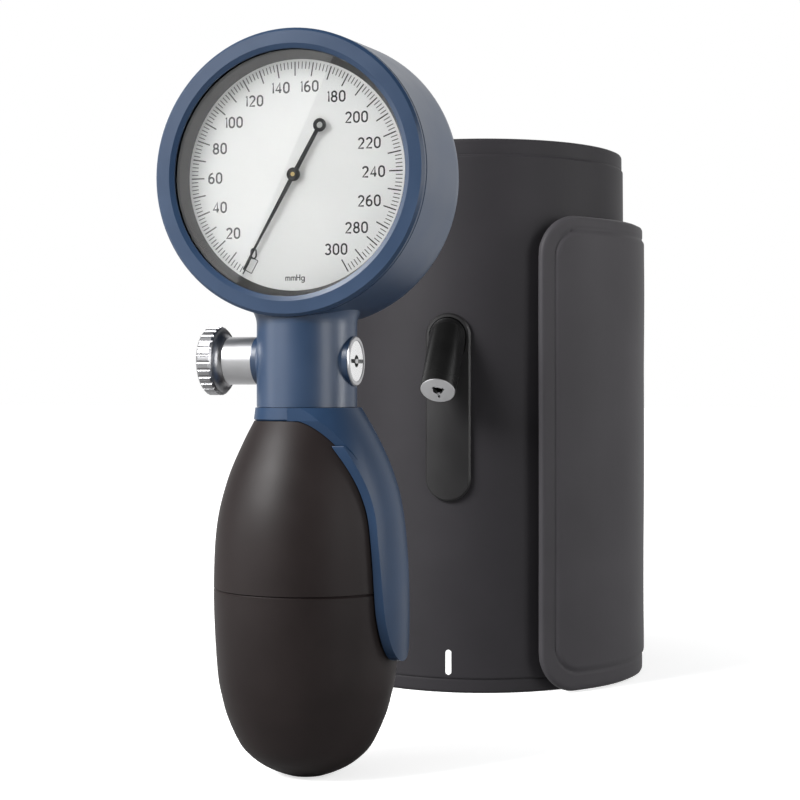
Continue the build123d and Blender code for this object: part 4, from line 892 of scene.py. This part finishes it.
strip_long = roll_r * math.radians(INNER_END - ROOT)
turns = [INNER_END - d / roll_r * DEG_PER_RADIAN for d in spaced(strip_long, near=1.5, fine=0.3, coarse=1.7)]
heights = spaced(cuff_top, near=7.0, fine=0.25, coarse=2.6)
cover = sheet_piece("cover_sheet", turns, heights, cover_place, cover_outer, cover_inner, "cuff_fabric",
                    "cuff")
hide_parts("cuff_cover")

# %% [markdown]
# The lining is the strip's inner sheet, the side that lies on the arm. It is half as thick as the cover's
# plain part. A grid of its own could cross the cover's where the cloth waves, so it takes the cover's
# columns and rows.

# %% Lining
SHORTER = 0.4
LAYER_GAP = 0.02
OUTER_SHARE, OUTER_EDGE_R, LINING_EDGE_R = 0.4, 0.5, 0.45


def lining_place(column, row):
    """The cover's place, kept a little inside both edges."""
    deg, z, flat = cover_place(column, row)
    return deg, min(max(z, SHORTER), strip_top(column) - SHORTER), flat


def lining_outer(column, row, deg, z):
    """The lining's outer side, a hair under the cover."""
    from_edge = min(z, strip_top(deg) - z) - SHORTER
    return COVER + LAYER_GAP + OUTER_SHARE * edge_round(from_edge, OUTER_EDGE_R)


def lining_inner(column, row, deg, z):
    """The lining's inner side, which is the strip's inside."""
    return COVER + LINING - edge_round(min(z, strip_top(deg) - z) - SHORTER, LINING_EDGE_R)


lining = sheet_piece("lining_sheet", turns, heights, lining_place, lining_outer, lining_inner, "cuff_lining",
                     "cuff")
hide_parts("cuff_lining")

# %% [markdown]
# The flap is the strip's free end, which lies on the roll and holds by hook and loop. Its corners are
# round, its edge is thick and soft, and inside a flat border its middle stands up a little, with a fine
# groove between the two. It could be sculpted, but distances from both outlines give the height at any
# spot, and keep the border as even as the press that made it. The flap keeps the cuff's slot, but wears
# a lighter copy of the roll's cloth, which is painted light.

# %% Flap
FLAP_LENGTH = flap_r * math.radians(ROOT - FREE_END)
FLAP_CORNER, PANEL_CORNER = 11.0, 7.5
BORDER_END, BORDER_FOOT, BORDER_TOP, BORDER_SUNK = 4.4, 5.3, 3.8, 0.5
FLAP_EDGE_R, FLAP_INNER_EDGE_R = 1.3, 1.0
PANEL_GROOVE_OUT, PANEL_GROOVE_DEEP, PANEL_GROOVE_WIDE = 0.15, 0.28, 0.25
DRAWN_IN_OVER = 25


def inside_corner(along, up, radius):
    """Distance inside a rounded rectangle's outline, from the distances to two of its sides."""
    if along < radius and up < radius:
        return radius - math.hypot(radius - along, radius - up)
    return min(along, up)


def flap_place(column, row):
    """Rows stay clear of the round corners: they are drawn in towards the middle near the free end."""
    drawn_in = FLAP_CORNER - math.sqrt(max(FLAP_CORNER**2 - max(FLAP_CORNER - column, 0.0)**2, 0.0))
    tall = flap_top - flap_foot
    share = min(row, tall - row, DRAWN_IN_OVER) / DRAWN_IN_OVER
    shift = drawn_in * (1 - ease(share)) * (1 if row < tall / 2 else -1)
    z = flap_foot + row + shift
    return FREE_END + math.degrees(column / flap_r), z, (column, z)


def flap_outer(column, row, deg, z):
    """The flap's outer side: a sunk border, a groove, and a raised panel."""
    up = min(z - flap_foot, flap_top - z)
    edge = inside_corner(column, up, FLAP_CORNER)
    panel_up = min(z - flap_foot - BORDER_FOOT, flap_top - z - BORDER_TOP)
    panel = inside_corner(column - BORDER_END, panel_up, PANEL_CORNER)
    sunk = BORDER_SUNK * (1 - ease(panel))
    line = groove(panel + PANEL_GROOVE_OUT, PANEL_GROOVE_DEEP, PANEL_GROOVE_WIDE)
    return sunk + line + edge_round(max(edge, 0.0), FLAP_EDGE_R)


def flap_inner(column, row, deg, z):
    """The flap's inner side, rounded at its edge."""
    up = min(z - flap_foot, flap_top - z)
    return STRIP_WALL - edge_round(max(inside_corner(column, up, FLAP_CORNER), 0.0), FLAP_INNER_EDGE_R)


def uneven_columns(length, near=12.8, fine=0.4, wide_count=36):
    """Columns that are close together near the free end only."""
    close = [fine * i for i in range(round(near / fine))]
    return close + [near + (length - near) * i / wide_count for i in range(wide_count + 1)]


flap_rows = spaced(flap_top - flap_foot, near=15.0, fine=0.5, coarse=2.5)
flap = sheet_piece("flap_sheet", uneven_columns(FLAP_LENGTH - 0.1), flap_rows, flap_place, flap_outer,
                   flap_inner, "cuff_fabric", None)
# The flap wears the lighter copy of the roll's cloth, which is painted light.
flap.data.materials[0] = finishes["flap_fabric_painted_lighter"]
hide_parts("cuff_flap")

# %% [markdown]
# Under the flap lie the two fastener patches: soft loops on the roll and stiff hooks inside the flap. They
# could be grown as hair, but they only show when the flap opens, and a rough surface is enough for that.
# Both are sheets too, and the air bag between cover and lining is a third, with a flat edge.

# %% Patches and air bag
PATCH = (45, 112, 9, 118)
HOOK_THICK = 1.38
LUMPS_PER_DEG, LUMPS_PER_MM = 1.3, 0.9
BAG = (-99.3, 99.3, 12.5, 134.5)
BAG_THICK, BAG_PAST_COVER = 1.06, 1.08


def ring_sheet(name, deg_from, deg_to, z_from, z_to, outer_r, inner_r, rough, slot, body, edge=0.5):
    """A sheet between two radii of the roll, with rounded edges and a rough outside."""
    length = outer_r * math.radians(deg_to - deg_from)
    columns = [deg_from + math.degrees(d / outer_r) for d in spaced(length, near=1.0, fine=0.25, coarse=2.2)]
    rows = spaced(z_to - z_from, near=1.0, fine=0.25, coarse=2.6)

    def place(column, row):
        return column, z_from + row, (outer_r * math.radians(column), z_from + row)

    def from_edge(deg, z):
        return min(z - z_from, z_to - z, outer_r * math.radians(min(deg - deg_from, deg_to - deg)))

    def outer(column, row, deg, z):
        lump = rough * noise.noise(Vector((deg * LUMPS_PER_DEG, z * LUMPS_PER_MM, 0)))
        return strip_radius(deg) - outer_r + abs(lump) + edge_round(max(from_edge(deg, z), 0.0), edge)

    def inner(column, row, deg, z):
        return strip_radius(deg) - inner_r

    return sheet_piece(name, columns, rows, place, outer, inner, slot, body)


loop = ring_sheet("loop_pile_patch", *PATCH, roll_r + LOOP_THICK, roll_r + LAYER_GAP, 0.12, "loop_pile",
                  "cuff")
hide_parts("loop_patch")
hook_r = flap_r - STRIP_WALL - LAYER_GAP
hook = ring_sheet("hook_tape_patch", *PATCH, hook_r, hook_r - HOOK_THICK, 0.08, "hook_tape", "flap")
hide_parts("hook_patch")
bag_r = roll_r - COVER + BAG_PAST_COVER
bag = ring_sheet("air_bag", *BAG, bag_r, bag_r - BAG_THICK, 0.03, "black_rubber", "cuff", edge=0.9)
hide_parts("bladder")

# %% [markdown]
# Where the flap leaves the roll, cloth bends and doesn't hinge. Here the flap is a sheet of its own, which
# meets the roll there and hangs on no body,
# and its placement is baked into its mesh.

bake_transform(flap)

# %% [markdown]
# A small white bar near the cuff's lower edge shows where the artery lies. It is printed, so it is a thin
# film on the cover, with round ends. A flat bar wouldn't follow the round cuff and its slow waves, so each
# of its points is placed on the cloth. It shares the dial's slot, with an ink's finish.

# %% Index bar
finishes["white_ink"] = textured("white_ink", (0.78, 0.78, 0.78), 0.55, grain=6000, bump=0.05)
BAR_LONG, BAR_HALF, BAR_MIDDLE_Z, BAR_FILM = 6.7, 0.8, 8.2, 0.03
rows_up, columns_across = 24, 8
LEAST_HALF_SQUARED = 0.002
points, faces = [], []
for j in range(rows_up + 1):
    up = j / rows_up * BAR_LONG
    near_end = min(up, BAR_LONG - up)
    short_by = max(BAR_HALF - near_end, 0.0)
    half = math.sqrt(max(BAR_HALF**2 - short_by**2, LEAST_HALF_SQUARED))
    for i in range(columns_across + 1):
        deg = PORT_DEG + math.degrees(half * (2 * i / columns_across - 1) / roll_r)
        points.append(strip_place(deg, -BAR_FILM, BAR_MIDDLE_Z - BAR_LONG / 2 + up))
for j in range(rows_up):
    for i in range(columns_across):
        a = j * (columns_across + 1) + i
        b = a + columns_across + 1
        faces.append((a, a + 1, b + 1, b))
index_bar = place_piece("index_bar", points, faces, "white_dial", "cuff")
index_bar.data.materials.clear()
index_bar.data.materials.append(finishes["white_ink"])
